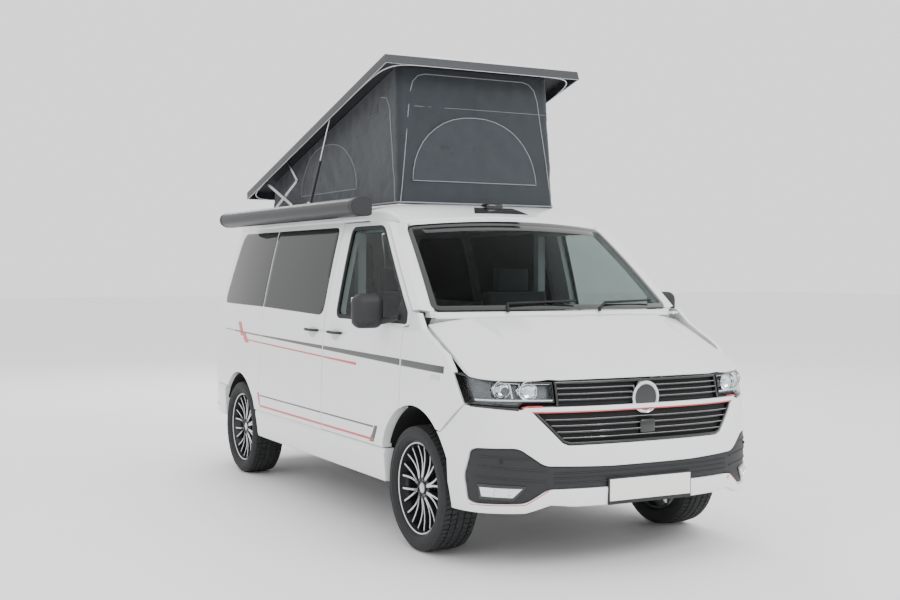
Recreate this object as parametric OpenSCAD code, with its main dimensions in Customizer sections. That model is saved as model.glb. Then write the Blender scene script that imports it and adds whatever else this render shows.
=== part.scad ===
// Camper van with a lifting sleeping roof, side awning and ten-spoke alloy wheels.
// Millimetres, +Z up, nose towards -Y, the van's right side towards -X, wheels on z = 0.

/* [Overall] */
// Length over both bumpers
van_length = 4904; // [4850:2:5900]
// Width of the body without the mirrors
body_width = 1904; // [1880:2:2290]
// Height of the roof gutter above the ground
gutter_z = 1860; // [1840:5:1900]
// Distance between the axles
wheelbase = 3000; // [2900:10:3050]
// Nose to the front axle
front_overhang = 908; // [900:2:930]

/* [Wheels] */
// Tyre outer radius
tyre_r = 348; // [330:1:352]
// Tyre width
tyre_w = 235; // [190:5:245]
// Radius of the rim's outer lip
rim_r = 258; // [215:1:264]
// Distance between the tyre centres of one axle
track = 1630; // [1600:2:1640]
// Spindle radius at the hubs
spindle_r = 30; // [25:1:36]
// Height of the wheel arch over the wheel centre at the front
front_arch_r = 440; // [430:1:450]
// Radius of the rear wheel arch
rear_arch_r = 424; // [410:1:440]

/* [Body] */
// Thickness of a door or a side wall
wall = 60; // [40:5:75]
// Glass thickness
glass = 6; // [5:1:8]
// Clearance between a moving panel and its frame
gap = 6; // [5:0.5:8]
// Underside of the sills
sill_z = 330; // [310:5:360]
// Foot of the doors, at the ledge above the sill
door_foot_z = 522; // [500:2:560]
// Belt line where the side turns inwards
belt_z = 1230; // [1210:5:1250]
// Base of the side windows
window_z = 1280; // [1260:5:1310]
// Top of the side windows
window_top_z = 1820; // [1790:5:1825]
// Floor sheet thickness
floor_t = 40; // [30:5:60]
// Underside of the floor
floor_z = 440; // [430:5:460]
// Front door width at the seams
front_door_w = 1145; // [1100:5:1180]
// Sliding door width at the seams
slide_door_w = 1190; // [1150:5:1200]
// Half-width of the tailgate
tailgate_hw = 690; // [640:5:700]
// Half-width of the front grille
grille_hw = 528; // [480:4:540]

/* [Lifting roof] */
// Half-width of the lifting roof shell
shell_hw = 716; // [700:2:724]
// Length of the lifting roof shell
shell_l = 2717; // [2600:5:2740]
// Thickness of the roof shell
shell_t = 14; // [8:1:18]
// Nose-up angle of the raised roof
roof_deg = 15.3; // [12:0.1:15.3]
// Half-width of the canvas at its foot
canvas_hw = 580; // [560:2:600]
// Length of the hinge arms between pins
hinge_arm_l = 652; // [640:1:655]
// Pin radius of the linkage
pin_r = 5; // [4:0.5:6]

/* [Outfit] */
// Awning case length
awning_l = 2580; // [2000:10:2620]
// Awning case height
awning_h = 112; // [90:2:125]
// Mirror overall width over both mirrors
mirror_span = 2296; // [2240:2:2620]
// Seat width in the cab
seat_w = 500; // [420:10:520]
// Number plate length
plate_l = 520; // [340:5:520]
// Number plate height
plate_h = 112; // [100:2:114]
// Radius of the towing eye socket
tow_socket_r = 9; // [8:0.5:12]

/* [Hidden] */
$fn = 64;

hw = body_width / 2;
nose_y = -van_length / 2;
tail_y = van_length / 2;
axle_f = nose_y + front_overhang;
axle_r = axle_f + wheelbase;
door_y = axle_f + 159;                  // seam ahead of the front door
b_seam = door_y + front_door_w + gap;   // seam between front door and sliding door
c_seam = b_seam + slide_door_w;         // seam behind the sliding door
rear_y0 = tail_y - 150;                 // rear face of the body above the bumper
waist_z = 700;                          // height at which the body is widest
corner_r = 200;                         // radius of the rear corners
nose_d = 620;                           // length of the nose's curve
nose_p = 2.8;                           // squareness of the nose's curve
front_arch_c = [axle_f - 12, 370];
rear_arch_c = [axle_r + 10, 345];
hub_z = tyre_r;
king_x = track / 2 - 70;
king_r = 14;
run = 0.05;                             // running clearance of a shaft in its bore
seam = 0.5;                             // gap between fixed panels
steel = "#3a3c3f";
white = "#eceeef";
plastic = "#2a2c2f";

// Roof, its opening and the lifting roof's linkage.
roof_top = 112;                         // rise of the roof over the gutter
roof_front = axle_f + 904;              // front edge of the roof panel, under the moulded cap
roof_rear = rear_y0 - 222;
roof_rows = concat(steps(roof_front, roof_rear - 170, 5), steps(roof_rear - 120, roof_rear, 3));
pin_z = gutter_z + 170;                 // level of the linkage's pins with the roof shut
shell_front = roof_front + 640 - 742;   // nose of the shut roof
arm_foot = [shell_front + 1739, pin_z];
arm_deg = roof_deg * 19.6 / 15.3;       // rise of the hinge arms
arm_head = arm_foot + hinge_arm_l * [cos(arm_deg), sin(arm_deg)];
arm_shut = arm_foot + [hinge_arm_l, 0];
lip_z = gutter_z + 125;                 // lower edge of the shut shell
edge_z = gutter_z + 182;
lay = [676, 664, 652];                  // x of the hinge arms, brace arms and brace links
bar_t = 8;
brace_foot = [arm_foot[0] + 386, pin_z - 1];
brace_l = 468;
brace_deg = 158.05;
elbow = brace_foot + brace_l * [cos(brace_deg), sin(brace_deg)];
link_l = 264;
link_head = elbow + link_l * [cos(37.6), sin(37.6)];
prop_foot = [arm_foot[0] - 347, pin_z + 1];
prop_head = prop_foot + [-370, 590];
prop_x = 672;
prop_deg = atan2(prop_head[1] - prop_foot[1], prop_head[0] - prop_foot[0]);
prop_l = norm(prop_head - prop_foot);
canvas_front = shell_front + 130;
canvas_rear = shell_front + shell_l - 275;
canvas_z = gutter_z + roof_top + 0.3;
well_half = canvas_hw - 16;             // half-width of the roof's opening
well_y = [canvas_front + 16, canvas_rear - 16];
hinge_t = [roof_rear + 18, gutter_z + 34];      // tailgate hinge line (y, z)
gate_hinge_x = [-420, 420];
gate_pin_r = 6;
bonnet_rear = axle_f - 28;
hinge_b = [bonnet_rear - 18, 1300];     // bonnet hinge line (y, z)
bonnet_ear = 837;                       // inner face of the bonnet's hinge ears
bonnet_pin_r = 6;
awning_x = half_w(gutter_z) + 62;       // inner face of the awning's case
awning_y = [axle_f + 744, axle_f + 744 + awning_l];

// Half-width of the body at height z, and its narrowing ahead and behind.
function half_w(z) = z < belt_z
  ? hw - 22 * pow((z - waist_z) / (z < waist_z ? 400 : 530), 2)
  : hw - 22 - 0.19 * (z - belt_z) - 21 * pow((z - belt_z) / 600, 2);
function taper(y) = let (s = max(0, y - (rear_y0 - 1402)) / 1250) 55 * s * s;
function nose(z) = nose_y + 0.000261 * pow(max(z - 450, 0), 2)
  + 0.0008 * pow(min(z - 450, 0), 2);
function rear_face(z) = rear_y0 - 0.000122 * pow(max(z - 600, 0), 2);
function front_x(y, z) = let (s = max(0, (nose(z) + nose_d - y) / nose_d))
  half_w(z) * pow(max(0, 1 - pow(s, nose_p)), 1 / nose_p);
function side_x(y, z) = front_x(y, z) - taper(y);

// A closed slab between two grids of points that match one another.
module slab(outer, inner) {
  n = len(outer);
  m = len(outer[0]);
  points = concat([for (r = outer) each r], [for (r = inner) each r]);
  o = n * m;
  polyhedron(points, concat(
    [for (i = [0:n - 2], j = [0:m - 2]) let (a = i * m + j) [a, a + 1, a + m + 1, a + m]],
    [for (i = [0:n - 2], j = [0:m - 2]) let (a = o + i * m + j) [a, a + m, a + m + 1, a + 1]],
    [for (i = [0:n - 2]) let (a = i * m) [a, a + m, o + a + m, o + a]],
    [for (i = [0:n - 2]) let (a = i * m + m - 1) [a, o + a, o + a + m, a + m]],
    [for (j = [0:m - 2]) [j, o + j, o + j + 1, j + 1]],
    [for (j = [0:m - 2]) let (a = (n - 1) * m + j) [a, a + 1, o + a + 1, o + a]]),
    convexity = 6);
}

// A solid through rings that hold the same number of points.
module loft(rings) {
  n = len(rings);
  m = len(rings[0]);
  polyhedron([for (r = rings) each r], concat(
    [for (j = [1:m - 2]) [0, j, j + 1]],
    [for (j = [1:m - 2], b = (n - 1) * m) [b, b + j + 1, b + j]],
    [for (i = [0:n - 2], j = [0:m - 1]) let (a = i * m + j, b = i * m + (j + 1) % m)
      [a, a + m, b + m, b]]), convexity = 4);
}

function steps(a, b, n) = [for (i = [0:n]) a + (b - a) * i / n];

// Side wall of the +X side between two y stations, from z0 to z1, sunk by inset.
module side_wall(y0, y1, z0, z1, t, inset = 0, ny = 6, nz = 8)
  slab([for (y = steps(y0, y1, ny)) [for (z = steps(z0, z1, nz)) [side_x(y, z) - inset, y, z]]],
    [for (y = steps(y0, y1, ny)) [for (z = steps(z0, z1, nz)) [side_x(y, z) - inset - t, y, z]]]);

// Rear corner of the +X side, from the side (a = 0) round to the rear face (a = 90).
function corner_pt(a, z, d) = let (yc = rear_face(z) - corner_r)
  [side_x(yc, z) - corner_r + (corner_r - d) * cos(a), yc + (corner_r - d) * sin(a), z];
module rear_corner(z0, z1, t, inset = 0, nz = 8)
  slab([for (a = steps(0, 90, 6)) [for (z = steps(z0, z1, nz)) corner_pt(a, z, inset)]],
    [for (a = steps(0, 90, 6)) [for (z = steps(z0, z1, nz)) corner_pt(a, z, inset + t)]]);

// Nose skin: angle 0 is the centre line, +-90 the start of the straight sides.
function signed_pow(v, e) = sign(v) * pow(abs(v), e);
function nose_pt(a, z, d) = let (e = 2 / nose_p, nx = signed_pow(sin(a), 2 - e) / half_w(z),
  ny = -pow(cos(a), 2 - e) / nose_d, l = norm([nx, ny]))
  [half_w(z) * signed_pow(sin(a), e) - d * nx / l,
   nose(z) + nose_d - nose_d * pow(cos(a), e) - d * ny / l, z];
module nose_skin(z0, z1, a0, a1, t, inset = 0, na = 16, nz = 5)
  slab([for (a = steps(a0, a1, na)) [for (z = steps(z0, z1, nz)) nose_pt(a, z, inset)]],
    [for (a = steps(a0, a1, na)) [for (z = steps(z0, z1, nz)) nose_pt(a, z, inset + t)]]);

// Prisms: an outline in (y, z) cut along X, and one in (x, z) cut along Y.
module along_x(points, x0 = 0, x1 = 1300)
  translate([x0, 0, 0]) rotate([90, 0, 90]) linear_extrude(x1 - x0) polygon(points);
module along_y(points, y0, y1)
  translate([0, y1, 0]) rotate([90, 0, 0]) linear_extrude(y1 - y0) polygon(points);
module tube_x(r, x0, x1, y, z)
  translate([x0, y, z]) rotate([0, 90, 0]) cylinder(r = r, h = x1 - x0);
module block(x0, x1, y0, y1, z0, z1)
  translate([x0, y0, z0]) cube([x1 - x0, y1 - y0, z1 - z0]);
module both() { children(); mirror([1, 0, 0]) children(); }
module right() mirror([1, 0, 0]) children();

door_hinge = [hw - 30, door_y + 34];    // front door's hinge line (x, y)
door_hinge_z = [900, 1130];
door_pin_r = 8;

// Outlines of the side's openings in (y, z).
pillar_foot = [axle_f + 87, 1330];      // A-pillar's rear edge at the bonnet's height
pillar_head = [axle_f + 649, gutter_z - 18];
door_edge = [[door_y, door_foot_z + gap], [door_y, 1238], [pillar_foot[0] - 4, 1248],
  [pillar_foot[0] + 4, pillar_foot[1]], pillar_head, [pillar_head[0] + 40, gutter_z - 6],
  [b_seam - gap, gutter_z - 6], [b_seam - gap, door_foot_z + gap]];
door_window = [[pillar_foot[0] + 34, 1262], [pillar_foot[0] + 40, 1312],
  [pillar_head[0] + 6, window_top_z - 22], [pillar_head[0] + 60, window_top_z],
  [b_seam - 165, window_top_z], [b_seam - 185, 1262]];
slide_edge = [[b_seam, door_foot_z + seam], [b_seam, gutter_z - 6], [c_seam, gutter_z - 6],
  [c_seam, door_foot_z + seam]];
slide_window = [[b_seam + 45, window_z - 8], [b_seam + 60, window_top_z],
  [c_seam - 14, window_top_z + 4], [c_seam - 14, window_z + 14]];
function rear_end(z) = rear_face(z) - corner_r;
rear_window = [[c_seam + 14, window_z + 14], [c_seam + 14, window_top_z + 4],
  [rear_end(window_top_z) - 120, window_top_z + 6], [rear_end(window_z) - 80, window_z + 24]];

module front_arch(x0, x1) intersection() {
  tube_x(front_arch_r, x0, x1, front_arch_c[0], front_arch_c[1]);
  block(x0 - 1, x1 + 1, front_arch_c[0] - 393, front_arch_c[0] + 393, -100, 1000);
}
module front_arch_full(x0, x1) {
  front_arch(x0, x1);
  block(x0, x1, front_arch_c[0] - 393, front_arch_c[0] + 393, -100, front_arch_c[1]);
}
module rear_arch(x0, x1) {
  tube_x(rear_arch_r, x0, x1, rear_arch_c[0], rear_arch_c[1]);
  block(x0, x1, rear_arch_c[0] - rear_arch_r, rear_arch_c[0] + rear_arch_r, -100, rear_arch_c[1]);
}

// ---- Underbody -------------------------------------------------------------------------
floor_hw = half_w(door_foot_z) - wall - 12;
well_in = king_x - 258;                 // inner wall of the front wheel wells
well_front = axle_f - 412;
well_rear = axle_f + 402;
rear_well_in = track / 2 - tyre_w / 2 - 62;
tail_hw = tailgate_hw - 20;              // half-width of the floor behind the rear wheels
box_hw = floor_hw - 40;                 // outer edge of the boxes over the rear wheels

module floor_pan() color(steel) {
  difference() {
    union() {
      block(-floor_hw, floor_hw, well_rear, rear_arch_c[0], floor_z, floor_z + floor_t);
      block(-tail_hw, tail_hw, rear_arch_c[0] - 1, rear_face(600) - 70, floor_z, floor_z + floor_t);
      block(-well_in - 12, well_in + 12, axle_f + 20, well_rear + 1, floor_z, floor_z + floor_t);
    }
    both() block(rear_well_in, hw, rear_arch_c[0] - rear_arch_r, rear_arch_c[0] + rear_arch_r,
      floor_z - 1, floor_z + floor_t + 1);
  }
  // firewall between the engine bay and the cab, and the backs of the front wheel wells
  block(-well_in - 12, well_in + 12, axle_f + 8, axle_f + 20, floor_z, 1180);
  both() {
    block(well_in, well_in + 12, axle_f + 20, well_rear, floor_z + floor_t, 850);
    block(well_in, floor_hw, well_rear, well_rear + 12, floor_z + floor_t, 850);
    block(well_in + 12, floor_hw - 20, axle_f + 8, well_rear, 838, 850);
  }
  // boxes over the rear wheels
  both() {
    block(rear_well_in - 12, rear_well_in, rear_arch_c[0] - rear_arch_r - 12,
      rear_arch_c[0] + rear_arch_r + 12, floor_z + floor_t, 790);
    block(rear_well_in, box_hw, rear_arch_c[0] - rear_arch_r - 12,
      rear_arch_c[0] - rear_arch_r, floor_z + floor_t, 790);
    block(rear_well_in, box_hw, rear_arch_c[0] + rear_arch_r,
      rear_arch_c[0] + rear_arch_r + 12, floor_z + floor_t, 790);
    block(rear_well_in - 12, box_hw, rear_arch_c[0] - rear_arch_r - 12,
      rear_arch_c[0] + rear_arch_r + 12, 790, 802);
  }
}

jack_y = [well_rear + 130, c_seam - 130];
module side_sills() color(white) both() {
  difference() {
    side_wall(well_rear - 30, rear_arch_c[0] - 200, sill_z, door_foot_z, wall, 0, 3, 3);
    front_arch_full(0, hw + 50);
    rear_arch(0, hw + 50);
  }
  for (y = jack_y) block(floor_hw - 60, hw - 30 - wall / 2, y - 40, y + 40, sill_z - 12, sill_z);
  block(floor_hw - 60, floor_hw, jack_y[0] - 40, jack_y[1] + 40, sill_z, floor_z);
}

module front_axle() color(steel) {
  both() {
    // frame rail, crossbeam leg, lower arm, strut and king pin
    block(400, 460, nose_y + 170, well_rear + 140, floor_z - 60, floor_z);
    block(400, 460, axle_f - 60, axle_f + 60, 222, floor_z - 60);
    block(460, king_x + 24, axle_f - 36, axle_f + 36, hub_z - 134, hub_z - 106);
    block(460, 504, axle_f - 36, axle_f + 7, hub_z + 106, hub_z + 132);
    block(503, king_x + 24, axle_f - 30, axle_f + 30, hub_z + 106, hub_z + 132);
    translate([king_x, axle_f, hub_z - 106.2]) cylinder(r = king_r, h = 212.4);
    translate([480, axle_f - 50, hub_z + 120]) cylinder(r = 38, h = 370);
  }
  block(-400, 400, axle_f - 60, axle_f + 60, 222, 262);
  // front crossbeam with the towing eye's socket
  difference() {
    union() {
      block(-585, 585, nose_y + 130, nose_y + 170, floor_z - 70, floor_z + 40);
      translate([tow_x, nose_y + 170, tow_z]) rotate([90, 0, 0]) cylinder(r = tow_socket_r + 9, h = 110);
    }
    translate([tow_x, nose_y + 120, tow_z]) rotate([90, 0, 0]) cylinder(r = tow_socket_r, h = 61);
  }
}
tow_x = 560;
tow_z = 430;

module engine_block() color("#4a4d50") {
  block(-330, 330, axle_f - 560, axle_f - 40, floor_z + 20, 930);
  block(-450, 450, axle_f - 330, axle_f - 270, floor_z, floor_z + 40);
}

module rear_axle() color(steel) {
  tube_x(42, -rear_well_in + 20, rear_well_in - 20, axle_r, hub_z);
  both() {
    tube_x(30, rear_well_in - 21, track / 2 - 60, axle_r, hub_z);
    tube_x(spindle_r, track / 2 - 61, track / 2 + 60, axle_r, hub_z);
    translate([rear_well_in - 80, axle_r, hub_z]) cylinder(r = 48, h = floor_z - hub_z);
    block(rear_well_in - 120, rear_well_in - 60, axle_r - 520, axle_r, hub_z - 25, hub_z + 25);
    block(rear_well_in - 120, rear_well_in - 60, axle_r - 520, axle_r - 460, hub_z, floor_z);
  }
}

module exhaust() color("#7d7f80") {
  translate([260, axle_f + 200, floor_z - 24.3]) rotate([-90, 0, 0]) cylinder(r = 24, h = wheelbase - 420);
  translate([260, axle_r + 480, floor_z - 78]) rotate([-90, 0, 0]) cylinder(r = 78, h = 330);
  translate([260, axle_r - 221, floor_z - 24.3]) rotate([-90, 0, 0]) cylinder(r = 24, h = 702);
  translate([260, axle_f + 700, floor_z - 72]) rotate([-90, 0, 0]) cylinder(r = 72, h = 480);
}

// ---- Knuckles and wheels ---------------------------------------------------------------
module knuckle() color("#55585b") difference() {
  union() {
    translate([king_x, axle_f, hub_z - 105.8]) cylinder(r = 26, h = 211.6);
    tube_x(34, king_x, track / 2 - 26, axle_f, hub_z);
    tube_x(spindle_r, track / 2 - 27, track / 2 + 60, axle_f, hub_z);
    block(king_x - 12, king_x + 12, axle_f + 20, axle_f + 150, hub_z - 60, hub_z - 36);
  }
  translate([king_x, axle_f, hub_z - 120]) cylinder(r = king_r + run, h = 240);
}

module rim(y) color("#b9bcc0") translate([track / 2, y, hub_z]) rotate([0, 90, 0]) {
  rotate_extrude() polygon([[rim_r - 18, -92], [rim_r - 2, -96], [rim_r - 2, 88],
    [rim_r - 12, 92], [rim_r - 18, 60]]);
  difference() {
    translate([0, 0, 38]) linear_extrude(30) union() {
      circle(r = 66);
      for (i = [0:9], s = [-1, 1]) rotate(i * 36 + s * 9) polygon([[40, -9 - s * 5],
        [40, 9 - s * 5], [rim_r - 16, 7 + s * 5], [rim_r - 16, -7 + s * 5]]);
    }
    translate([0, 0, 30]) cylinder(r = spindle_r + run, h = 32);
  }
  translate([0, 0, -25]) difference() {
    cylinder(r = 66, h = 64);
    translate([0, 0, -1]) cylinder(r = spindle_r + run, h = 66);
  }
}

module tyre(y) color("#1c1d1f") translate([track / 2, y, hub_z]) rotate([0, 90, 0])
  rotate_extrude($fn = 96) polygon([[rim_r - 1.7, -94], [rim_r + 12, -tyre_w / 2 + 8],
    [rim_r + 40, -tyre_w / 2], [tyre_r - 24, -tyre_w / 2 + 1], [tyre_r - 8, -tyre_w / 2 + 12],
    [tyre_r, -tyre_w / 2 + 30], [tyre_r, tyre_w / 2 - 30], [tyre_r - 8, tyre_w / 2 - 12],
    [tyre_r - 24, tyre_w / 2 - 1], [rim_r + 40, tyre_w / 2], [rim_r + 12, tyre_w / 2 - 8],
    [rim_r - 1.7, 86]]);

// ---- Body sides ------------------------------------------------------------------------
module side_cut() {
  along_x(rear_window);
  rear_arch(0, hw + 50);
}
// Above the belt the rear edge leans forwards with the rear face.
module quarter_side() slab(
  [for (k = steps(0, 1, 6)) [for (z = steps(door_foot_z + seam, gutter_z, 9)) quarter_pt(k, z, 0)]],
  [for (k = steps(0, 1, 6)) [for (z = steps(door_foot_z + seam, gutter_z, 9)) quarter_pt(k, z, wall)]]);
function quarter_pt(k, z, d) = let (y0 = c_seam + seam, y = y0 + (rear_end(z) - y0) * k)
  [side_x(y, z) - d, y, z];
module quarter() {
  difference() {
    quarter_side();
    side_cut();
    block(0, hw + 50, rear_arch_c[0], tail_y, 0, 640);
  }
  difference() {
    rear_corner(640, gutter_z, wall);
    lamp_outline();
  }
  // bracket from the quarter's foot to the floor, inside the bumper
  y = rear_arch_c[0] + rear_arch_r + 14;
  block(tail_hw - 50, tail_hw - 5, y, y + 190, floor_z + floor_t, 652);
  block(tail_hw - 50, hw - 60, y, y + 190, 640, 652);
}
lamp_z = [850, 1255];
module lamp_outline() along_y([[tailgate_hw + 18, lamp_z[0]], [tailgate_hw + 8, lamp_z[1]],
  [hw, lamp_z[1]], [hw, lamp_z[0]]], rear_face(lamp_z[1]) - 120, tail_y);

module left_side_panel() color(white) {
  difference() {
    side_wall(b_seam, c_seam + seam + 0.1, door_foot_z + seam, gutter_z, wall);
    along_x(slide_window);
  }
  quarter();
}
module right_side_panel() color(white) right() {
  quarter();
  side_wall(b_seam, c_seam, gutter_z - 5.5, gutter_z, wall, 0, 6, 1);
}
module sliding_door() color(white) right() difference() {
  intersection() {
    side_wall(b_seam, c_seam, door_foot_z + seam, gutter_z - 6, wall);
    along_x(slide_edge);
  }
  along_x(slide_window);
}
module side_windows() color("#15181b") both() {
  intersection() {
    side_wall(b_seam, c_seam, window_z - 40, window_top_z + 20, glass, 3, 4, 5);
    along_x(slide_window);
  }
  intersection() {
    side_wall(c_seam, rear_end(window_z), window_z - 10, window_top_z + 20, glass, 3, 4, 5);
    along_x(rear_window);
  }
}
module tail_lights() color("#8e1c1e") both() intersection() {
  rear_corner(lamp_z[0] - 20, lamp_z[1] + 20, wall - 10);
  lamp_outline();
}

// ---- Cab frame, windscreen and roof ----------------------------------------------------
screen_foot = [831, axle_f + 8, 1322];  // lower corner of the windscreen
screen_head = [704, axle_f + 607, 1833];
function screen_pt(u, v, d) = let (w = screen_foot[0] + (screen_head[0] - screen_foot[0]) * v,
  bow = (164 - 91 * v) * (1 - u * u))
  [w * u, screen_foot[1] + (screen_head[1] - screen_foot[1]) * v - bow + d * 0.66,
   screen_foot[2] + (screen_head[2] - screen_foot[2]) * v + (3 + 34 * v) * (1 - u * u)
   + 14 * sin(180 * v) - d * 0.75];
module windscreen() color("#5c6668")
  slab([for (u = steps(-0.964, 0.964, 12)) [for (v = steps(0.02, 0.97, 5)) screen_pt(u, v, 0)]],
    [for (u = steps(-0.964, 0.964, 12)) [for (v = steps(0.02, 0.97, 5)) screen_pt(u, v, glass)]]);

function pillar_ring(k) = let (s = screen_pt(1, k, 0), i = screen_pt(0.97, k, 2),
  zr = pillar_foot[1] + (pillar_head[1] - pillar_foot[1]) * k,
  yr = pillar_foot[0] - 3 * gap + (pillar_head[0] - pillar_foot[0]) * k,
  r = [side_x(yr, zr) - 4, yr, zr], mid = (s + r) / 2 + [14, -14, 6],
  back = r - [wall - 10, -2, 4], front = i - [12, -40, 30])
  [[r, mid, s, i], [for (t = steps(0, 1, 3)) back + (front - back) * t]];
post_x = half_w(gutter_z) - wall - 12;   // outer face of the B-post
module cab_frame() color(white) {
  both() {
    slab([for (k = steps(0.01, 1.0, 6)) pillar_ring(k)[0]],
      [for (k = steps(0.01, 1.0, 6)) pillar_ring(k)[1]]);
    // cant rail inside the front door's head, and the B-post behind it
    block(post_x - 55, post_x, pillar_head[0] - 15, b_seam - 60, gutter_z - 70, gutter_z - 8);
    block(post_x - 55, post_x, b_seam - 60, b_seam - seam, floor_top, gutter_z - 8);
    // cowl post from the pillar's foot down to the sill, behind the wing
    block(hw - 200, hw - 130, axle_f + 130, well_rear - 40, 850, 1180);
    for (z = door_hinge_z) {
      block(hw - 131, door_hinge[0] + 10, door_hinge[1] - 12, door_hinge[1] + 12, z - 12, z + 12);
      translate([door_hinge[0], door_hinge[1], z - 32]) cylinder(r = door_pin_r, h = 64);
    }
    // pin of the bonnet's hinge at the pillar's foot
    tube_x(bonnet_pin_r, bonnet_ear - 26, bonnet_ear + 18, hinge_b[0], hinge_b[1]);
    block(bonnet_ear - 26, bonnet_ear - 5, hinge_b[0] - 8, hinge_b[0] + 60,
      hinge_b[1] - 8, hinge_b[1] + 8);
    block(screen_foot[0] - 40, bonnet_ear - 5, axle_f + 8, axle_f + 62, hinge_b[1] - 8, hinge_b[1] + 25);
  }
  // roof header and cowl under the windscreen
  slab([for (u = steps(-0.94, 0.94, 8)) [for (v = [0.9706, 1.02]) screen_pt(u, v, 0)]],
    [for (u = steps(-0.94, 0.94, 8)) [for (v = [0.9706, 1.02]) screen_pt(u, v, 40)]]);
  difference() {
    slab([for (u = steps(-0.97, 0.97, 8)) [for (v = [-0.05, 0.01]) screen_pt(u, v, 8)]],
      [for (u = steps(-0.97, 0.97, 8)) [for (v = [-0.05, 0.01]) screen_pt(u, v, 90)]]);
    bonnet_space();
  }
}

function roof_w(y) = let (yc = rear_end(gutter_z), c = max(0, y - yc))
  side_x(min(y, yc), gutter_z) - corner_r + sqrt(corner_r * corner_r - c * c);
function roof_pt(a, y, d) = let (e = 0.5, w = roof_w(y) - d,
  drop = 0.0012 * pow(max(0, y - roof_rear + 180), 2))
  [w * signed_pow(sin(a), e), y, gutter_z + (roof_top - d - drop) * pow(max(0, cos(a)), e)];
module roof_panel() color(white) {
  difference() {
    slab([for (a = steps(-90, 90, 16)) [for (y = roof_rows) roof_pt(a, y, 0)]],
      [for (a = steps(-90, 90, 16)) [for (y = roof_rows) roof_pt(a, y, 26)]]);
    roof_well();
  }
  // upright frame round the roof's opening, where the canvas stands
  difference() {
    block(-canvas_hw - 8, canvas_hw + 8, well_y[0] - 24, well_y[1] + 24, gutter_z + 80,
      gutter_z + roof_top);
    roof_well();
  }
  // feet of the hinge arms, brace arms and gas props, each with its pin
  both() {
    roof_foot(lay[0] + bar_t / 2 + 2, arm_foot);
    tube_x(pin_r, lay[0] - bar_t / 2, lay[0] + bar_t / 2 + 3, arm_foot[0], arm_foot[1]);
    roof_foot(lay[1] - bar_t / 2 - 8, brace_foot);
    tube_x(pin_r, lay[1] - bar_t / 2 - 3, lay[1] + bar_t / 2, brace_foot[0], brace_foot[1]);
    roof_foot(prop_x + 14, prop_foot);
    tube_x(pin_r, prop_x - 5, prop_x + 15, prop_foot[0], prop_foot[1]);
  }
  // pins of the tailgate's hinges
  for (x = gate_hinge_x) {
    tube_x(gate_pin_r, x - 36, x + 36, hinge_t[0], hinge_t[1]);
    for (s = [-36, 24]) block(x + s, x + s + 12, roof_rear - 20, hinge_t[0] + 8,
      hinge_t[1] - 8, gutter_z + roof_top - 50);
  }
  // brackets of the awning
  right() for (y = [awning_y[0] + 260, awning_y[0] + awning_l / 2, awning_y[1] - 260])
    block(half_w(gutter_z) - 42, awning_x, y - 30, y + 30, gutter_z + 40, gutter_z + 52);
}
module roof_well() block(-well_half, well_half, well_y[0], well_y[1], gutter_z - 10, gutter_z + 300);
module roof_foot(x, p) block(x, x + 6, p[0] - 16, p[0] + 16, gutter_z + 84, p[1] + 9);

// Moulded cap between the windscreen's header and the lifting roof.
function cap_pt(u, v, d) = let (s = screen_pt(u, 1.035, 0), a = asin(max(-1, min(1, signed_pow(u, 2)))),
  r = roof_pt(a, roof_front - seam, 0), k = sin(90 * v),
  hump = 16 * sin(180 * v) * (0.4 + pow(u, 4)))
  [s[0] + (r[0] - s[0]) * v, s[1] + (r[1] - s[1]) * v, s[2] + (r[2] - s[2]) * k + hump]
  + [0, 0.66 * (1 - v), -0.75 - 0.25 * v] * d;
module roof_cap() color(white) difference() {
  slab([for (u = steps(-1, 1, 14)) [for (v = steps(0, 1, 5)) cap_pt(u, v, 0)]],
    [for (u = steps(-1, 1, 14)) [for (v = steps(0, 1, 5)) cap_pt(u, v, 24)]]);
  block(-hw, hw, pillar_head[0] - 16, roof_front + 10, 0, gutter_z - seam);
}

// ---- Front end -------------------------------------------------------------------------
lamp_out = [[axle_f - 432, 1031], [axle_f - 527, 867]];   // outer edge of the headlight
bumper_edge = [[axle_f - 340, 705], [axle_f - 527, 867]];
wing_edge = [[door_y - gap, 460], [door_y - gap, 1232], [pillar_foot[0] - 12, 1242],
  [pillar_foot[0] - 4, 1322], [axle_f - 4, 1318], [axle_f - 96, 1236], [axle_f - 359, 1110],
  lamp_out[0], lamp_out[1], bumper_edge[0], [axle_f - 340, 460]];
module front_wings() color(white) both() {
  difference() {
    intersection() {
      side_wall(axle_f - 540, door_y - gap, 470, 1318, 30, 0, 10, 8);
      along_x(wing_edge);
    }
    front_arch_full(0, hw + 50);
    // room for the door's front edge as it swings
    translate([door_hinge[0], door_hinge[1], 400])
      cylinder(r = norm([hw - door_hinge[0], door_hinge[1] - door_y]) + gap, h = 1000);
  }
  // inner shelf that carries the wing on the frame rail
  block(465, hw - 20, axle_f - 424, axle_f - 384, 784, 820);
  block(465, 505, axle_f - 424, axle_f - 384, floor_z, 784);
  block(hw - 235, hw - 20, door_y - 96, door_y - 56, 850, 900);
}

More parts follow.
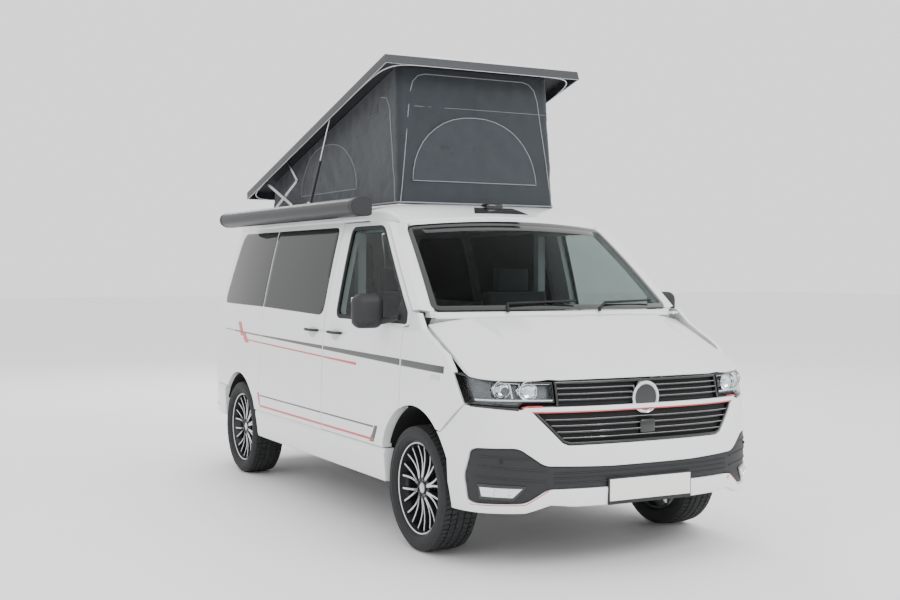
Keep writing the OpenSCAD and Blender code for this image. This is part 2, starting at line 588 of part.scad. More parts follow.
grille_outline = [[-grille_hw, 993], [grille_hw, 993], [grille_hw + 1, 870],
  [grille_hw + 142, 868], [grille_hw + 96, 806], [grille_hw - 16, 682], [grille_hw - 50, 669],
  [50 - grille_hw, 669], [16 - grille_hw, 682], [-grille_hw - 96, 806],
  [-grille_hw - 142, 868], [-grille_hw - 1, 870]];
lamp_shape = [[grille_hw + 4, 990], [700, 1012], [925, 1033], [960, 1033], [960, 867], [880, 862],
  [grille_hw + 170, 850], [grille_hw + 150, 874], [grille_hw + 4, 874]];
insert_outline = [[-904, 652], [-728, 658], [-608, 566], [-256, 553], [256, 553], [608, 566],
  [728, 658], [904, 652], [920, 506], [904, 362], [696, 374], [592, 446], [-592, 446],
  [-696, 374], [-904, 362], [-920, 506]];
module front_bumper() color(white) difference() {
  nose_skin(262, 866, -90, 90, 34);
  along_y(grille_outline, nose_y - 50, axle_f);
  along_y(insert_outline, nose_y - 50, axle_f - 560);
  both() front_arch_full(500, hw + 50);
  both() along_y(lamp_shape, nose_y - 50, axle_f);
  both() along_x([[axle_f - 340, 400], bumper_edge[0], bumper_edge[1], [axle_f - 527, 900],
    [axle_f, 900], [axle_f, 400]], 600);
  translate([tow_x, nose_y + 300, tow_z]) rotate([90, 0, 0]) cylinder(r = 24, h = 400);
  // seat of the number plate
  block(-plate_l / 2 - 3, plate_l / 2 + 3, nose_y - 1, nose_y + 8.3,
    plate_z - plate_h / 2 - 3, plate_z + plate_h / 2 + 3);
}
module bumper_insert() color(plastic) difference() {
  intersection() {
    nose_skin(340, 680, -84, 84, 30, 8);
    along_y(insert_outline, nose_y - 50, axle_f - 560);
  }
  translate([tow_x, nose_y + 300, tow_z]) rotate([90, 0, 0]) cylinder(r = 24, h = 400);
}
module grille() color(plastic) {
  difference() {
    intersection() {
      nose_skin(660, 1000, -62, 62, 24, 10);
      along_y(grille_outline, nose_y - 50, axle_f);
    }
    bonnet_space();
  }
  translate([0, nose(885) + 30, 885]) rotate([90, 0, 0]) cylinder(r = 84, h = 26);
}
module headlights() color("#c9ced2") both() difference() {
  intersection() {
    nose_skin(845, 1036, 20, 90, 90, 2, 10, 3);
    along_y(lamp_shape, nose_y - 50, axle_f);
    along_x([[nose_y, 1040], [lamp_out[0][0] - 3, 1036], lamp_out[1] - [3, 0],
      [lamp_out[1][0] - 3, 800], [nose_y, 800]], 300);
  }
  bonnet_space();
}
plate_z = 428;
plate_t = 8;                            // plate and holder, proud of the rear bumper
module number_plates() color("#e8e8e4") {
  translate([0, nose_y + 4, plate_z]) cube([plate_l, 8, plate_h], center = true);
  block(-plate_l / 2, plate_l / 2, tail_y - plate_t, tail_y, 524, 524 + plate_h);
}

function bonnet_z(x, y) = 1004 + (y - nose(1000)) * 0.478 - 0.00004 * pow(y - nose(1000), 2)
  - 118 * pow(abs(x) / (hw - 57), 3);
function bonnet_edge(x) = front_y(x, 1010) + 8;
function front_y(x, z) = nose(z) + nose_d - nose_d
  * pow(max(0, 1 - pow(abs(x) / half_w(z), nose_p)), 1 / nose_p);
function bonnet_pt(u, v, d) = let (x = u * (hw - 66 - 24 * v), f = bonnet_edge(x * 0.985),
  r = bonnet_rear - 150 * (1 - u * u), y = f + (r - f) * v)
  [x, y, bonnet_z(x, y) - d * min(1, 0.5 + 4 * max(0, v))];
// Room kept clear round the shut bonnet.
module bonnet_space()
  slab([for (u = steps(-1.012, 1.012, 16)) [for (v = steps(-0.06, 1.02, 8)) bonnet_pt(u, v, -90)]],
    [for (u = steps(-1.012, 1.012, 16)) [for (v = steps(-0.06, 1.02, 8)) bonnet_pt(u, v, 26 + gap * 1.6)]]);
module bonnet() color(white) difference() {
  union() {
    slab([for (u = steps(-1, 1, 16)) [for (v = steps(0, 1, 8)) bonnet_pt(u, v, 0)]],
      [for (u = steps(-1, 1, 16)) [for (v = steps(0, 1, 8)) bonnet_pt(u, v, 26)]]);
    both() block(bonnet_ear, bonnet_ear + 16, hinge_b[0] - 14, hinge_b[0] + 14,
      hinge_b[1] - 52, hinge_b[1] + 12);
  }
  both() tube_x(bonnet_pin_r + run, bonnet_ear - 4, bonnet_ear + 20, hinge_b[0], hinge_b[1]);
}

module wipers() color("#1f2022") {
  for (x = [-330, 330]) {
    c = screen_pt(x < 0 ? -0.485 : 0.2425, -0.012, 8) + [0, 0, 9.2];
    p = screen_pt((x - 60) / 831, 0.06, -12.6);
    q = screen_pt((x + 380) / 831 * (x > 0 ? 0.95 : 1), 0.07, -20.6);
    translate(c) cylinder(r = 10, h = 20);
    for (ends = [[c + [0, 0, 18], p], [p, q]]) hull() {
      translate(ends[0]) sphere(r = 8, $fn = 16);
      translate(ends[1]) sphere(r = 6, $fn = 16);
    }
  }
}

// ---- Rear end --------------------------------------------------------------------------
bumper_y = rear_arch_c[0] + 300;
function rear_bumper_pt(a, z, d) = let (e = 2 / 3.4, tip = tail_y - plate_t - 0.0004 * pow(z - 560, 2),
  sx = side_x(bumper_y, z) + 6)
  [(sx - d) * signed_pow(sin(a), e), bumper_y + (tip - d - bumper_y) * pow(cos(a), e), z];
module rear_bumper() color(white) difference() {
  slab([for (a = steps(-90, 90, 18)) [for (z = steps(400, 639.7, 3)) rear_bumper_pt(-a, z, 0)]],
    [for (a = steps(-90, 90, 18)) [for (z = steps(400, 639.7, 3)) rear_bumper_pt(-a, z, 46)]]);
  both() rear_arch(500, hw + 50);
}

gate_z = [648, gutter_z + 8];
function gate_hw(z) = min(tailgate_hw, side_x(rear_end(z), z) - corner_r - gap);
function gate_pt(u, z, d) = [u * gate_hw(z), rear_face(z) - 12 * u * u - d * (z > 1700 ? 0.8 : 1), z];
gate_window = [[-600, 1235], [-560, 1790], [560, 1790], [600, 1235]];
module gate_slab(z0, z1, t, inset = 0, nz = 8)
  slab([for (u = steps(1, -1, 8)) [for (z = steps(z0, z1, nz)) gate_pt(u, z, inset)]],
    [for (u = steps(1, -1, 8)) [for (z = steps(z0, z1, nz)) gate_pt(u, z, inset + t)]]);
module tailgate() color(white) {
  difference() {
    gate_slab(gate_z[0], gate_z[1], wall - 10);
    along_y(gate_window, rear_y0 - 500, tail_y);
  }
  for (x = gate_hinge_x) difference() {
    union() {
      tube_x(gate_pin_r + 6, x - 20, x + 20, hinge_t[0], hinge_t[1]);
      block(x - 20, x + 20, hinge_t[0] - 6, hinge_t[0] + 6, gate_z[1] - 4, hinge_t[1]);
    }
    tube_x(gate_pin_r + run, x - 30, x + 30, hinge_t[0], hinge_t[1]);
  }
}
module tailgate_glass() color("#15181b") intersection() {
  gate_slab(1200, 1820, glass, 3, 4);
  along_y(gate_window, rear_y0 - 500, tail_y);
}

// ---- Front doors -----------------------------------------------------------------------
module door_panel() difference() {
  intersection() {
    side_wall(door_y - 120, b_seam, door_foot_z + gap, gutter_z - 6, wall, 0, 8, 9);
    along_x(door_edge);
  }
  along_x(door_window);
  front_arch_full(0, hw + 50);
  for (z = door_hinge_z) {
    block(0, hw + 50, door_y - 2, door_hinge[1] + 20, z - 18, z + 18);
    translate([door_hinge[0], door_hinge[1], z - 34]) cylinder(r = door_pin_r + run, h = 68);
  }
}
module front_door_right() color(white) right() door_panel();
module front_door_left() color(white) door_panel();
module door_glass() color("#7f9187") intersection() {
  side_wall(door_y - 120, b_seam, 1255, window_top_z + 10, glass, 8, 8, 6);
  along_x(door_window);
}
module door_glass_right() right() door_glass();
module door_glass_left() door_glass();

mirror_x = mirror_span / 2;
module mirror_shape() color("#3b3e42") {
  hull() {
    translate([mirror_x - 36, door_y + 226, 1318]) scale([1, 1.1, 2.6]) sphere(r = 36, $fn = 24);
    translate([mirror_x - 150, door_y + 206, 1330]) scale([1, 1.3, 2.5]) sphere(r = 40, $fn = 24);
  }
  hull() {
    translate([mirror_x - 150, door_y + 196, 1268]) sphere(r = 28, $fn = 24);
    translate([side_x(door_y + 60, 1290) + 14, door_y + 66, 1290]) sphere(r = 26, $fn = 24);
  }
}
mirror_sail = [[pillar_foot[0] + 36, 1264], [pillar_foot[0] + 41, 1312],
  [pillar_foot[0] + 140, 1394], [pillar_foot[0] + 170, 1264]];
module mirror_body() {
  difference() {
    mirror_shape();
    side_wall(door_y - 120, door_y + 400, 1100, 1500, wall, -0.3, 4, 4);
  }
  color("#3b3e42") intersection() {
    side_wall(door_y - 120, door_y + 160, 1250, 1440, 12.7, -5, 3, 3);
    along_x(mirror_sail);
  }
}
module mirror_right() right() mirror_body();
module mirror_left() mirror_body();

// ---- Lifting roof ----------------------------------------------------------------------
// A point of the shut roof, carried to the raised roof.
function lifted(p) = let (v = p - arm_shut)
  arm_head + [v[0] * cos(roof_deg) + v[1] * sin(roof_deg), v[1] * cos(roof_deg) - v[0] * sin(roof_deg)];
module lift() translate([0, arm_head[0], arm_head[1]]) rotate([-roof_deg, 0, 0])
  translate([0, -arm_shut[0], -arm_shut[1]]) children();

// Grid of the shell: angles past 90 are the lip's lower edge, 3 mm outside the shoulder.
function shell_pt(a, b, d) = let (e = 0.4, sx = signed_pow(sin(min(90, max(-90, a))), e),
  sy = signed_pow(sin(min(90, max(-90, b))), e), low = abs(a) > 90 || abs(b) > 90,
  h = pow(max(0, cos(a)), e) * pow(max(0, cos(b)), e))
  [(shell_hw - d - (abs(a) > 90 ? 0 : 3)) * sx,
   shell_front + shell_l / 2 + (shell_l / 2 - d - (abs(b) > 90 ? 0 : 3)) * sy,
   low ? lip_z + (abs(a) == 90 || abs(b) == 90 ? 2 : 0)
     : edge_z + (48 - 22 * sx * sx - 14 * sy * sy - d) * h];
module shell_shut() {
  angles = concat([-91], steps(-90, 90, 14), [91]);
  slab([for (a = angles) [for (b = angles) shell_pt(a, b, 0)]],
    [for (a = angles) [for (b = angles) shell_pt(a, b, shell_t)]]);
}

module flat_bar(p, q, x, w) {
  l = norm(q - p);
  translate([x - bar_t / 2, p[0], p[1]]) rotate([atan2(q[1] - p[1], q[0] - p[0]), 0, 0])
    rotate([90, 0, 90]) linear_extrude(bar_t) union() {
      translate([0, -w / 2]) square([l, w]);
      circle(d = w);
      translate([l, 0]) circle(d = w);
    }
}
// A bar with a bore at its foot and one at its head.
module drilled(p, q, x) difference() {
  flat_bar(p, q, x, 24);
  for (c = [p, q]) tube_x(pin_r + run, x - bar_t, x + bar_t, c[0], c[1]);
}
module hinge_arms() color("#8c9094") both() drilled(arm_foot, arm_head, lay[0]);
module brace_arms() color("#8c9094") both() {
  difference() {
    flat_bar(brace_foot, elbow, lay[1], 24);
    tube_x(pin_r + run, lay[1] - bar_t, lay[1] + bar_t, brace_foot[0], brace_foot[1]);
  }
  tube_x(pin_r, lay[2] - bar_t / 2 - 2, lay[1], elbow[0], elbow[1]);
}
module brace_links() color("#8c9094") both() difference() {
  flat_bar(elbow, link_head, lay[2], 24);
  tube_x(pin_r + run, lay[2] - bar_t, lay[2] + bar_t, elbow[0], elbow[1]);
  tube_x(pin_r + 2, lay[2] - bar_t, lay[2] + bar_t, link_head[0], link_head[1]);
}
module prop_frame() translate([prop_x, prop_foot[0], prop_foot[1]]) rotate([prop_deg, 0, 0])
  rotate([-90, 0, 0]) children();
module prop_tubes() color("#26282a") both() {
  prop_frame() difference() {
    union() {
      translate([0, 0, 14]) cylinder(r = 10, h = 330);
      rotate([0, 90, 0]) translate([0, 0, -5]) cylinder(r = 12, h = 10);
      translate([-4, -6, 0]) cube([8, 12, 20]);
    }
    translate([0, 0, 24]) cylinder(r = 5 + run, h = 330);
    rotate([0, 90, 0]) translate([0, 0, -8]) cylinder(r = pin_r + run, h = 16);
  }
}
module prop_rods() color("#b5b8bb") both() prop_frame() {
  translate([0, 0, prop_l - 355]) cylinder(r = 5, h = 340);
  translate([0, 0, prop_l]) difference() {
    union() {
      rotate([0, 90, 0]) translate([0, 0, -4]) cylinder(r = 11, h = 8);
      translate([0, 0, -20]) cylinder(r = 5, h = 14);
    }
    rotate([0, 90, 0]) translate([0, 0, -8]) cylinder(r = pin_r + 2, h = 16);
  }
}

module roof_shell() color(white) {
  lift() shell_shut();
  both() {
    lift() {
      // brackets for the hinge arm, the brace link and the gas prop
      shell_bracket(lay[0] + bar_t / 2 + 2, arm_shut[0]);
      shell_bracket(lay[2] - bar_t / 2 - 12, unlifted(link_head)[0]);
      shell_bracket(prop_x + 14, unlifted(prop_head)[0]);
    }
    tube_x(pin_r, lay[0] - bar_t / 2, lay[0] + bar_t / 2 + 3, arm_head[0], arm_head[1]);
  }
}
function unlifted(p) = let (v = p - arm_head)
  arm_shut + [v[0] * cos(roof_deg) - v[1] * sin(roof_deg), v[1] * cos(roof_deg) + v[0] * sin(roof_deg)];
module shell_bracket(x, y) block(x, x + 6, y - 16, y + 16, pin_z - 12, edge_z + 16);

// Canvas: a closed wall from the frame round the roof's opening to the raised shell.
module canvas() color("#3d454c") difference() {
  canvas_block(0);
  canvas_block(8);
  lift() block(-shell_hw, shell_hw, shell_front, shell_front + shell_l,
    edge_z - 0.3, edge_z + 400);
}
module canvas_block(d) {
  foot = canvas_z - (d > 0 ? 1 : 0);
  lean = 20;
  top = [for (y = [canvas_front + 68, canvas_rear]) lifted([y - (y < 0 ? 210 : 0), edge_z + 4])[1] + d];
  w = canvas_hw - d;
  f = canvas_front + d;
  r = canvas_rear - d;
  loft([[[-w, f, foot], [w, f, foot], [w, r, foot], [-w, r, foot]],
    [[-w + lean, f + 68, top[0]], [w - lean, f + 68, top[0]], [w - lean, r, top[1]],
     [-w + lean, r, top[1]]]]);
}

// ---- Awning and inside fittings --------------------------------------------------------
module awning() color("#33373b") right() {
  z = gutter_z + 25;
  along_yz_prism([[awning_x, z + 8], [awning_x + 24, z - 2], [awning_x + 92, z],
    [awning_x + 132, z + 24], [awning_x + 142, z + 62], [awning_x + 128, z + 94],
    [awning_x + 84, z + awning_h], [awning_x + 30, z + awning_h + 2], [awning_x, z + awning_h - 14]]);
}
module along_yz_prism(points) along_y(points, awning_y[0], awning_y[1]);

floor_top = floor_z + floor_t;
module dashboard() color("#2e3033") {
  along_x([[axle_f + 20, 900], [axle_f + 20, 1172], [axle_f + 110, 1222], [axle_f + 320, 1250],
    [axle_f + 366, 1200], [axle_f + 330, 960], [axle_f + 240, 880], [axle_f + 60, 870]],
    -hw + 245, hw - 245);
  block(-140, 140, axle_f + 60, axle_f + 230, floor_top, 880);
  translate(wheel_c) rotate([wheel_tilt - 90, 0, 0]) translate([0, 0, -190]) cylinder(r = 28, h = 149.6);
}
wheel_c = [400, axle_f + 470, 1130];
wheel_tilt = 25;                        // rise of the steering column
module steering_wheel() color("#202224") translate(wheel_c) rotate([wheel_tilt - 90, 0, 0]) {
  rotate_extrude() translate([176, 0]) circle(r = 15, $fn = 24);
  translate([0, 0, -40]) cylinder(r = 46, h = 46);
  for (a = [-10, 190, 270]) rotate(a) translate([30, -14, -12]) cube([140, 28, 12]);
}

module seat(x, y, w, back) translate([x, y, 0]) {
  block(-w / 2 + 40, w / 2 - 40, 40, 440, floor_top, floor_top + 250);
  block(-w / 2, w / 2, 0, 500, floor_top + 250, floor_top + 390);
  hull() {
    block(-w / 2, w / 2, 390, 500, floor_top + 380, floor_top + 400);
    block(-w / 2 + 40, w / 2 - 40, 520, 610, floor_top + back, floor_top + back + 10);
  }
  block(-120, 120, 550, 620, floor_top + back + 10, floor_top + back + 180);
}
module front_seats() color("#4a4d52") for (x = [-430, 430])
  seat(x, axle_f + 640, seat_w, 900);
bench_y = c_seam + 40;
module rear_bench() color("#4a4d52") {
  block(-rear_well_in + 30, 240, bench_y, bench_y + 620, floor_top, floor_top + 330);
  block(-rear_well_in + 30, 240, bench_y, bench_y + 600, floor_top + 330, floor_top + 440);
  hull() {
    block(-rear_well_in + 30, 240, bench_y + 470, bench_y + 600, floor_top + 430, floor_top + 450);
    block(-rear_well_in + 30, 240, bench_y + 600, bench_y + 690, floor_top + 1000, floor_top + 1010);
  }
}
module kitchen_unit() color("#c8c4bb") {
  block(430, half_w(belt_z) - wall - 24, b_seam + 90, rear_arch_c[0] - rear_arch_r - 20, floor_top, 1235);
}

floor_pan();
side_sills();
cab_frame();
left_side_panel();
right_side_panel();
sliding_door();
side_windows();
windscreen();
roof_cap();
roof_panel();
front_wings();
front_bumper();
bumper_insert();
grille();
headlights();
number_plates();
rear_bumper();
tail_lights();
engine_block();
front_axle();
rear_axle();
exhaust();
awning();
canvas();
dashboard();
front_seats();
rear_bench();
kitchen_unit();
wipers();
steering_wheel();
bonnet();
tailgate();
tailgate_glass();
front_door_right();
front_door_left();
door_glass_right();
door_glass_left();
mirror_right();
mirror_left();
hinge_arms();
roof_shell();
brace_arms();
brace_links();
prop_tubes();
prop_rods();
right() knuckle();  // knuckle_right
knuckle();  // knuckle_left
right() rim(axle_f);  // rim_front_right
rim(axle_f);  // rim_front_left
right() rim(axle_r);  // rim_rear_right
rim(axle_r);  // rim_rear_left
right() tyre(axle_f);  // tyre_front_right
tyre(axle_f);  // tyre_front_left
right() tyre(axle_r);  // tyre_rear_right
tyre(axle_r);  // tyre_rear_left
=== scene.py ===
import bpy
import bmesh
import math
import numpy as np
from mathutils import Matrix, Vector, noise
from mathutils.geometry import delaunay_2d_cdt


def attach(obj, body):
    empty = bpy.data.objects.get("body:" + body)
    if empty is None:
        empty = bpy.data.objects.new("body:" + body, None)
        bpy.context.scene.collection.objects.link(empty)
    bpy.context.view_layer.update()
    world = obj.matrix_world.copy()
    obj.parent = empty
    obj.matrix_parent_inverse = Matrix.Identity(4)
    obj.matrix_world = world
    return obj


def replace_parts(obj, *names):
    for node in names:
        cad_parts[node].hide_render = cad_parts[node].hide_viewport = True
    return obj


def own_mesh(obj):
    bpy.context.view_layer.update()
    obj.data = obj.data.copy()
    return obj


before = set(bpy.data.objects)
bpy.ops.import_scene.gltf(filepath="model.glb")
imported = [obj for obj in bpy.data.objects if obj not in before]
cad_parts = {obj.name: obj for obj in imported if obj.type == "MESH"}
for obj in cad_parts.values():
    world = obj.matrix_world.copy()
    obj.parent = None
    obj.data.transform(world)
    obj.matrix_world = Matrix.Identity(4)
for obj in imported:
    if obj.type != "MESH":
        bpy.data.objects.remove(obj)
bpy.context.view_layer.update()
print("frame loaded", len(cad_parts), "nodes")

# driving sizes of the van, in metres, as the frame has them
van = {
    "halfWidth": 0.952, "nose": -2.452, "tail": 2.452, "axleF": -1.544, "axleR": 1.456,
    "gutter": 1.860, "belt": 1.230, "waist": 0.700, "sill": 0.330, "doorFoot": 0.522,
    "noseDepth": 0.620, "noseSquare": 2.8, "rearFace": 2.302, "corner": 0.200, "wall": 0.060,
    "glass": 0.006, "gap": 0.006, "roofRise": 0.112, "roofFront": -0.640, "roofRear": 2.080,
    "track": 1.630, "tyre": 0.348, "tyreWidth": 0.235, "rim": 0.258,
}
doorY, bSeam, cSeam = -1.385, -0.234, 0.956
frontArch = {"y": -1.556, "z": 0.370, "r": 0.440, "half": 0.393}
rearArch = {"y": 1.466, "z": 0.345, "r": 0.424}
screenFoot = (0.831, van["axleF"] + 0.008, 1.322)
screenHead = (0.704, van["axleF"] + 0.607, 1.833)
noseLength = 1.27      # along the nose's curve, from the centre line to the straight side


# the body's surface
def halfWidthAt(z):
    if z < van["belt"]:
        reach = 0.4 if z < van["waist"] else 0.53
        return van["halfWidth"] - 0.022 * ((z - van["waist"]) / reach) ** 2
    over = z - van["belt"]
    return van["halfWidth"] - 0.022 - 0.19 * over - 0.021 * (over / 0.6) ** 2


def noseAt(z):
    return van["nose"] + 0.261 * max(z - 0.45, 0) ** 2 + 0.8 * min(z - 0.45, 0) ** 2


def rearAt(z):
    return van["rearFace"] - 0.122 * max(z - 0.6, 0) ** 2


def sideX(y, z):
    s = max(0, (noseAt(z) + van["noseDepth"] - y) / van["noseDepth"])
    k = van["noseSquare"]
    front = halfWidthAt(z) * max(0, 1 - s ** k) ** (1 / k)
    return front - 0.055 * (max(0, y - 0.9) / 1.25) ** 2


def sidePoint(p, z, d):
    # p runs back along the side, then round the rear corner
    turn = rearAt(z) - van["corner"]
    if p <= turn:
        return Vector((sideX(p, z) - d, p, z))
    a = min((p - turn) / van["corner"], math.pi / 2)
    r = van["corner"] - d
    return Vector((sideX(turn, z) - van["corner"] + r * math.cos(a), turn + r * math.sin(a), z))


def nosePoint(p, z, d):
    # p runs out from the centre line round the nose
    e = 2 / van["noseSquare"]
    a = max(-1, min(1, p / noseLength)) * math.pi / 2
    w, depth = halfWidthAt(z), van["noseDepth"]
    nx = math.copysign(abs(math.sin(a)) ** (2 - e), a) / w
    ny = -abs(math.cos(a)) ** (2 - e) / depth
    n = math.hypot(nx, ny)
    x = w * math.copysign(abs(math.sin(a)) ** e, a)
    y = noseAt(z) + depth - depth * abs(math.cos(a)) ** e
    if abs(p) > noseLength:
        y += abs(p) - noseLength
    return Vector((x - d * nx / n, y - d * ny / n, z))


def noseFromX(x, z):
    s = min(1, abs(x) / halfWidthAt(z)) ** (van["noseSquare"] / 2)
    return math.copysign(math.asin(s) / (math.pi / 2) * noseLength, x)


def noseFromY(y, z):
    t = (noseAt(z) + van["noseDepth"] - y) / van["noseDepth"]
    if t <= 0:
        return noseLength - t * van["noseDepth"]
    return math.acos(min(1, t) ** (van["noseSquare"] / 2)) / (math.pi / 2) * noseLength


def screenPoint(u, v, d):
    w = screenFoot[0] + (screenHead[0] - screenFoot[0]) * v
    bow = (0.164 - 0.091 * v) * (1 - u * u)
    y = screenFoot[1] + (screenHead[1] - screenFoot[1]) * v - bow + d * 0.66
    z = screenFoot[2] + (screenHead[2] - screenFoot[2]) * v + (0.003 + 0.034 * v) * (1 - u * u)
    return Vector((w * u, y, z + 0.014 * math.sin(math.pi * v) - d * 0.75))


def roofHalf(y):
    turn = rearAt(van["gutter"]) - van["corner"]
    c = max(0, y - turn)
    return sideX(min(y, turn), van["gutter"]) - van["corner"] + math.sqrt(van["corner"] ** 2 - c * c)


def roofPoint(a, y, d):
    w = roofHalf(y) - d
    drop = 1.2 * max(0, y - van["roofRear"] + 0.18) ** 2
    x = w * math.copysign(abs(math.sin(a)) ** 0.5, a)
    return Vector((x, y, van["gutter"] + (van["roofRise"] - d - drop) * max(0, math.cos(a)) ** 0.5))


def capPoint(u, v, d):
    s = screenPoint(u, 1.035, 0)
    a = math.asin(max(-1, min(1, math.copysign(u * u, u))))
    r = roofPoint(a, van["roofFront"] - 0.0005, 0)
    hump = 0.016 * math.sin(math.pi * v) * (0.4 + u ** 4)
    k = math.sin(math.pi / 2 * v)
    return Vector((s.x + (r.x - s.x) * v, s.y + (r.y - s.y) * v, s.z + (r.z - s.z) * k + hump - d))


def frontY(x, z):
    k = van["noseSquare"]
    return noseAt(z) + van["noseDepth"] * (1 - max(0, 1 - (abs(x) / halfWidthAt(z)) ** k) ** (1 / k))


def bonnetPoint(u, v, d):
    x = u * (van["halfWidth"] - 0.066 - 0.024 * v)
    f = frontY(x * 0.985, 1.010) + 0.008
    r = van["axleF"] - 0.028 - 0.150 * (1 - u * u)
    y = f + (r - f) * v
    run = y - noseAt(1.0)
    z = 1.004 + run * 0.478 - 0.04 * run ** 2 - 0.118 * (abs(x) / (van["halfWidth"] - 0.057)) ** 3
    return Vector((x, y, z - d * min(1, 0.5 + 4 * max(0, v))))


def gateHalf(z):
    return min(0.690, sideX(rearAt(z) - van["corner"], z) - van["corner"] - van["gap"])


def gatePoint(u, z, d):
    return Vector((u * gateHalf(z), rearAt(z) - 0.012 * u * u - d * (0.8 if z > 1.7 else 1), z))


def rearBumperPoint(p, z, d):
    e = 2 / 3.4
    back = rearArch["y"] + 0.3
    tip = van["tail"] - 0.008 - 0.4 * (z - 0.56) ** 2
    sx = sideX(back, z) + 0.006
    a = p * math.pi / 2
    x = (sx - d) * math.copysign(abs(math.sin(a)) ** e, a)
    return Vector((x, back + (tip - d - back) * abs(math.cos(a)) ** e, z))


# materials
palette = {}


def makeMaterial(name, colour, rough=0.5, metal=0.0, spread=0.05, grain=12.0, bump=0.0, bumpScale=300.0,
                 coat=0.0, sheen=0.0, see=0.0, weave=False, ior=1.45, spare=None):
    m = bpy.data.materials.new(name)
    m.use_nodes = True
    nodes, links = m.node_tree.nodes, m.node_tree.links
    shader = nodes["Principled BSDF"]
    coords = nodes.new("ShaderNodeTexCoord")
    speckle = nodes.new("ShaderNodeTexNoise")
    speckle.inputs["Scale"].default_value = grain
    speckle.inputs["Detail"].default_value = 6
    links.new(coords.outputs["Object"], speckle.inputs["Vector"])
    ramp = nodes.new("ShaderNodeValToRGB")
    dark = [c * (1 - spread) for c in colour]
    light = [min(1, c * (1 + spread)) for c in (spare or colour)]
    ramp.color_ramp.elements[0].color = (*dark, 1)
    ramp.color_ramp.elements[1].color = (*light, 1)
    ramp.color_ramp.elements[0].position = 0.35
    ramp.color_ramp.elements[1].position = 0.65
    links.new(speckle.outputs["Fac"], ramp.inputs["Fac"])
    links.new(ramp.outputs["Color"], shader.inputs["Base Color"])
    gloss = nodes.new("ShaderNodeMapRange")
    gloss.inputs["To Min"].default_value = max(0.02, rough * (1 - spread))
    gloss.inputs["To Max"].default_value = min(1, rough * (1 + 2 * spread))
    links.new(speckle.outputs["Fac"], gloss.inputs["Value"])
    links.new(gloss.outputs["Result"], shader.inputs["Roughness"])
    shader.inputs["Metallic"].default_value = metal
    shader.inputs["Coat Weight"].default_value = coat
    shader.inputs["Coat Roughness"].default_value = 0.04
    shader.inputs["Sheen Weight"].default_value = sheen
    shader.inputs["Transmission Weight"].default_value = see
    shader.inputs["IOR"].default_value = ior
    if bump:
        fine = nodes.new("ShaderNodeTexNoise")
        fine.inputs["Scale"].default_value = bumpScale
        fine.inputs["Detail"].default_value = 3
        height = fine.outputs["Fac"]
        links.new(coords.outputs["Object"], fine.inputs["Vector"])
        if weave:
            threads = []
            for turn in ((0, 0, math.pi / 4), (0, math.pi / 2, math.pi / 4)):
                place = nodes.new("ShaderNodeMapping")
                place.inputs["Rotation"].default_value = turn
                wave = nodes.new("ShaderNodeTexWave")
                wave.inputs["Scale"].default_value = bumpScale
                links.new(coords.outputs["Object"], place.inputs["Vector"])
                links.new(place.outputs["Vector"], wave.inputs["Vector"])
                threads.append(wave.outputs["Fac"])
            cross = nodes.new("ShaderNodeMath")
            cross.operation = "MULTIPLY"
            links.new(threads[0], cross.inputs[0])
            links.new(threads[1], cross.inputs[1])
            height = cross.outputs["Value"]
        lift = nodes.new("ShaderNodeBump")
        lift.inputs["Strength"].default_value = bump
        lift.inputs["Distance"].default_value = 0.001
        links.new(height, lift.inputs["Height"])
        links.new(lift.outputs["Normal"], shader.inputs["Normal"])
    palette[name] = m
    return m


makeMaterial("whitePaint", (0.80, 0.81, 0.82), rough=0.28, spread=0.012, grain=3, coat=0.8)
makeMaterial("shellPaint", (0.74, 0.75, 0.76), rough=0.35, spread=0.02, grain=5, coat=0.3, bump=0.05,
             bumpScale=500)
makeMaterial("bumperPlastic", (0.016, 0.017, 0.019), rough=0.55, spread=0.12, grain=60, bump=0.35,
             bumpScale=1400)
makeMaterial("glossBlack", (0.008, 0.009, 0.010), rough=0.12, spread=0.1, grain=30, coat=0.6)
makeMaterial("innerBlack", (0.010, 0.010, 0.011), rough=0.8, spread=0.2, grain=40, bump=0.2, bumpScale=500)
makeMaterial("rubber", (0.014, 0.015, 0.016), rough=0.72, spread=0.2, grain=50, bump=0.3, bumpScale=900)
makeMaterial("tyreRubber", (0.020, 0.021, 0.022), rough=0.78, spread=0.25, grain=35, bump=0.45, bumpScale=700)
makeMaterial("rimFace", (0.62, 0.63, 0.65), rough=0.22, metal=1.0, spread=0.06, grain=60, bump=0.06,
             bumpScale=900)
makeMaterial("rimBlack", (0.022, 0.023, 0.025), rough=0.3, metal=0.4, spread=0.1, grain=40, coat=0.4)
makeMaterial("discSteel", (0.30, 0.29, 0.28), rough=0.35, metal=1.0, spread=0.2, grain=120, bump=0.2,
             bumpScale=900)
makeMaterial("chrome", (0.75, 0.76, 0.78), rough=0.08, metal=1.0, spread=0.03, grain=20)
makeMaterial("mirrorGlass", (0.70, 0.73, 0.75), rough=0.03, metal=1.0, spread=0.01, grain=8)
makeMaterial("darkGlass", (0.005, 0.006, 0.007), rough=0.06, spread=0.1, grain=6, coat=0.0, ior=1.28)
makeMaterial("tintedGlass", (0.42, 0.48, 0.47), rough=0.02, spread=0.02, grain=5, see=1.0, ior=1.1)
makeMaterial("lampGlass", (0.93, 0.95, 0.96), rough=0.02, spread=0.01, grain=5, see=1.0, ior=1.1)
makeMaterial("lampReflector", (0.78, 0.80, 0.82), rough=0.12, metal=1.0, spread=0.05, grain=80)
makeMaterial("redLens", (0.42, 0.012, 0.014), rough=0.08, spread=0.15, grain=70, coat=0.9)
makeMaterial("stripeRed", (0.60, 0.030, 0.035), rough=0.3, spread=0.04, grain=10, coat=0.4)
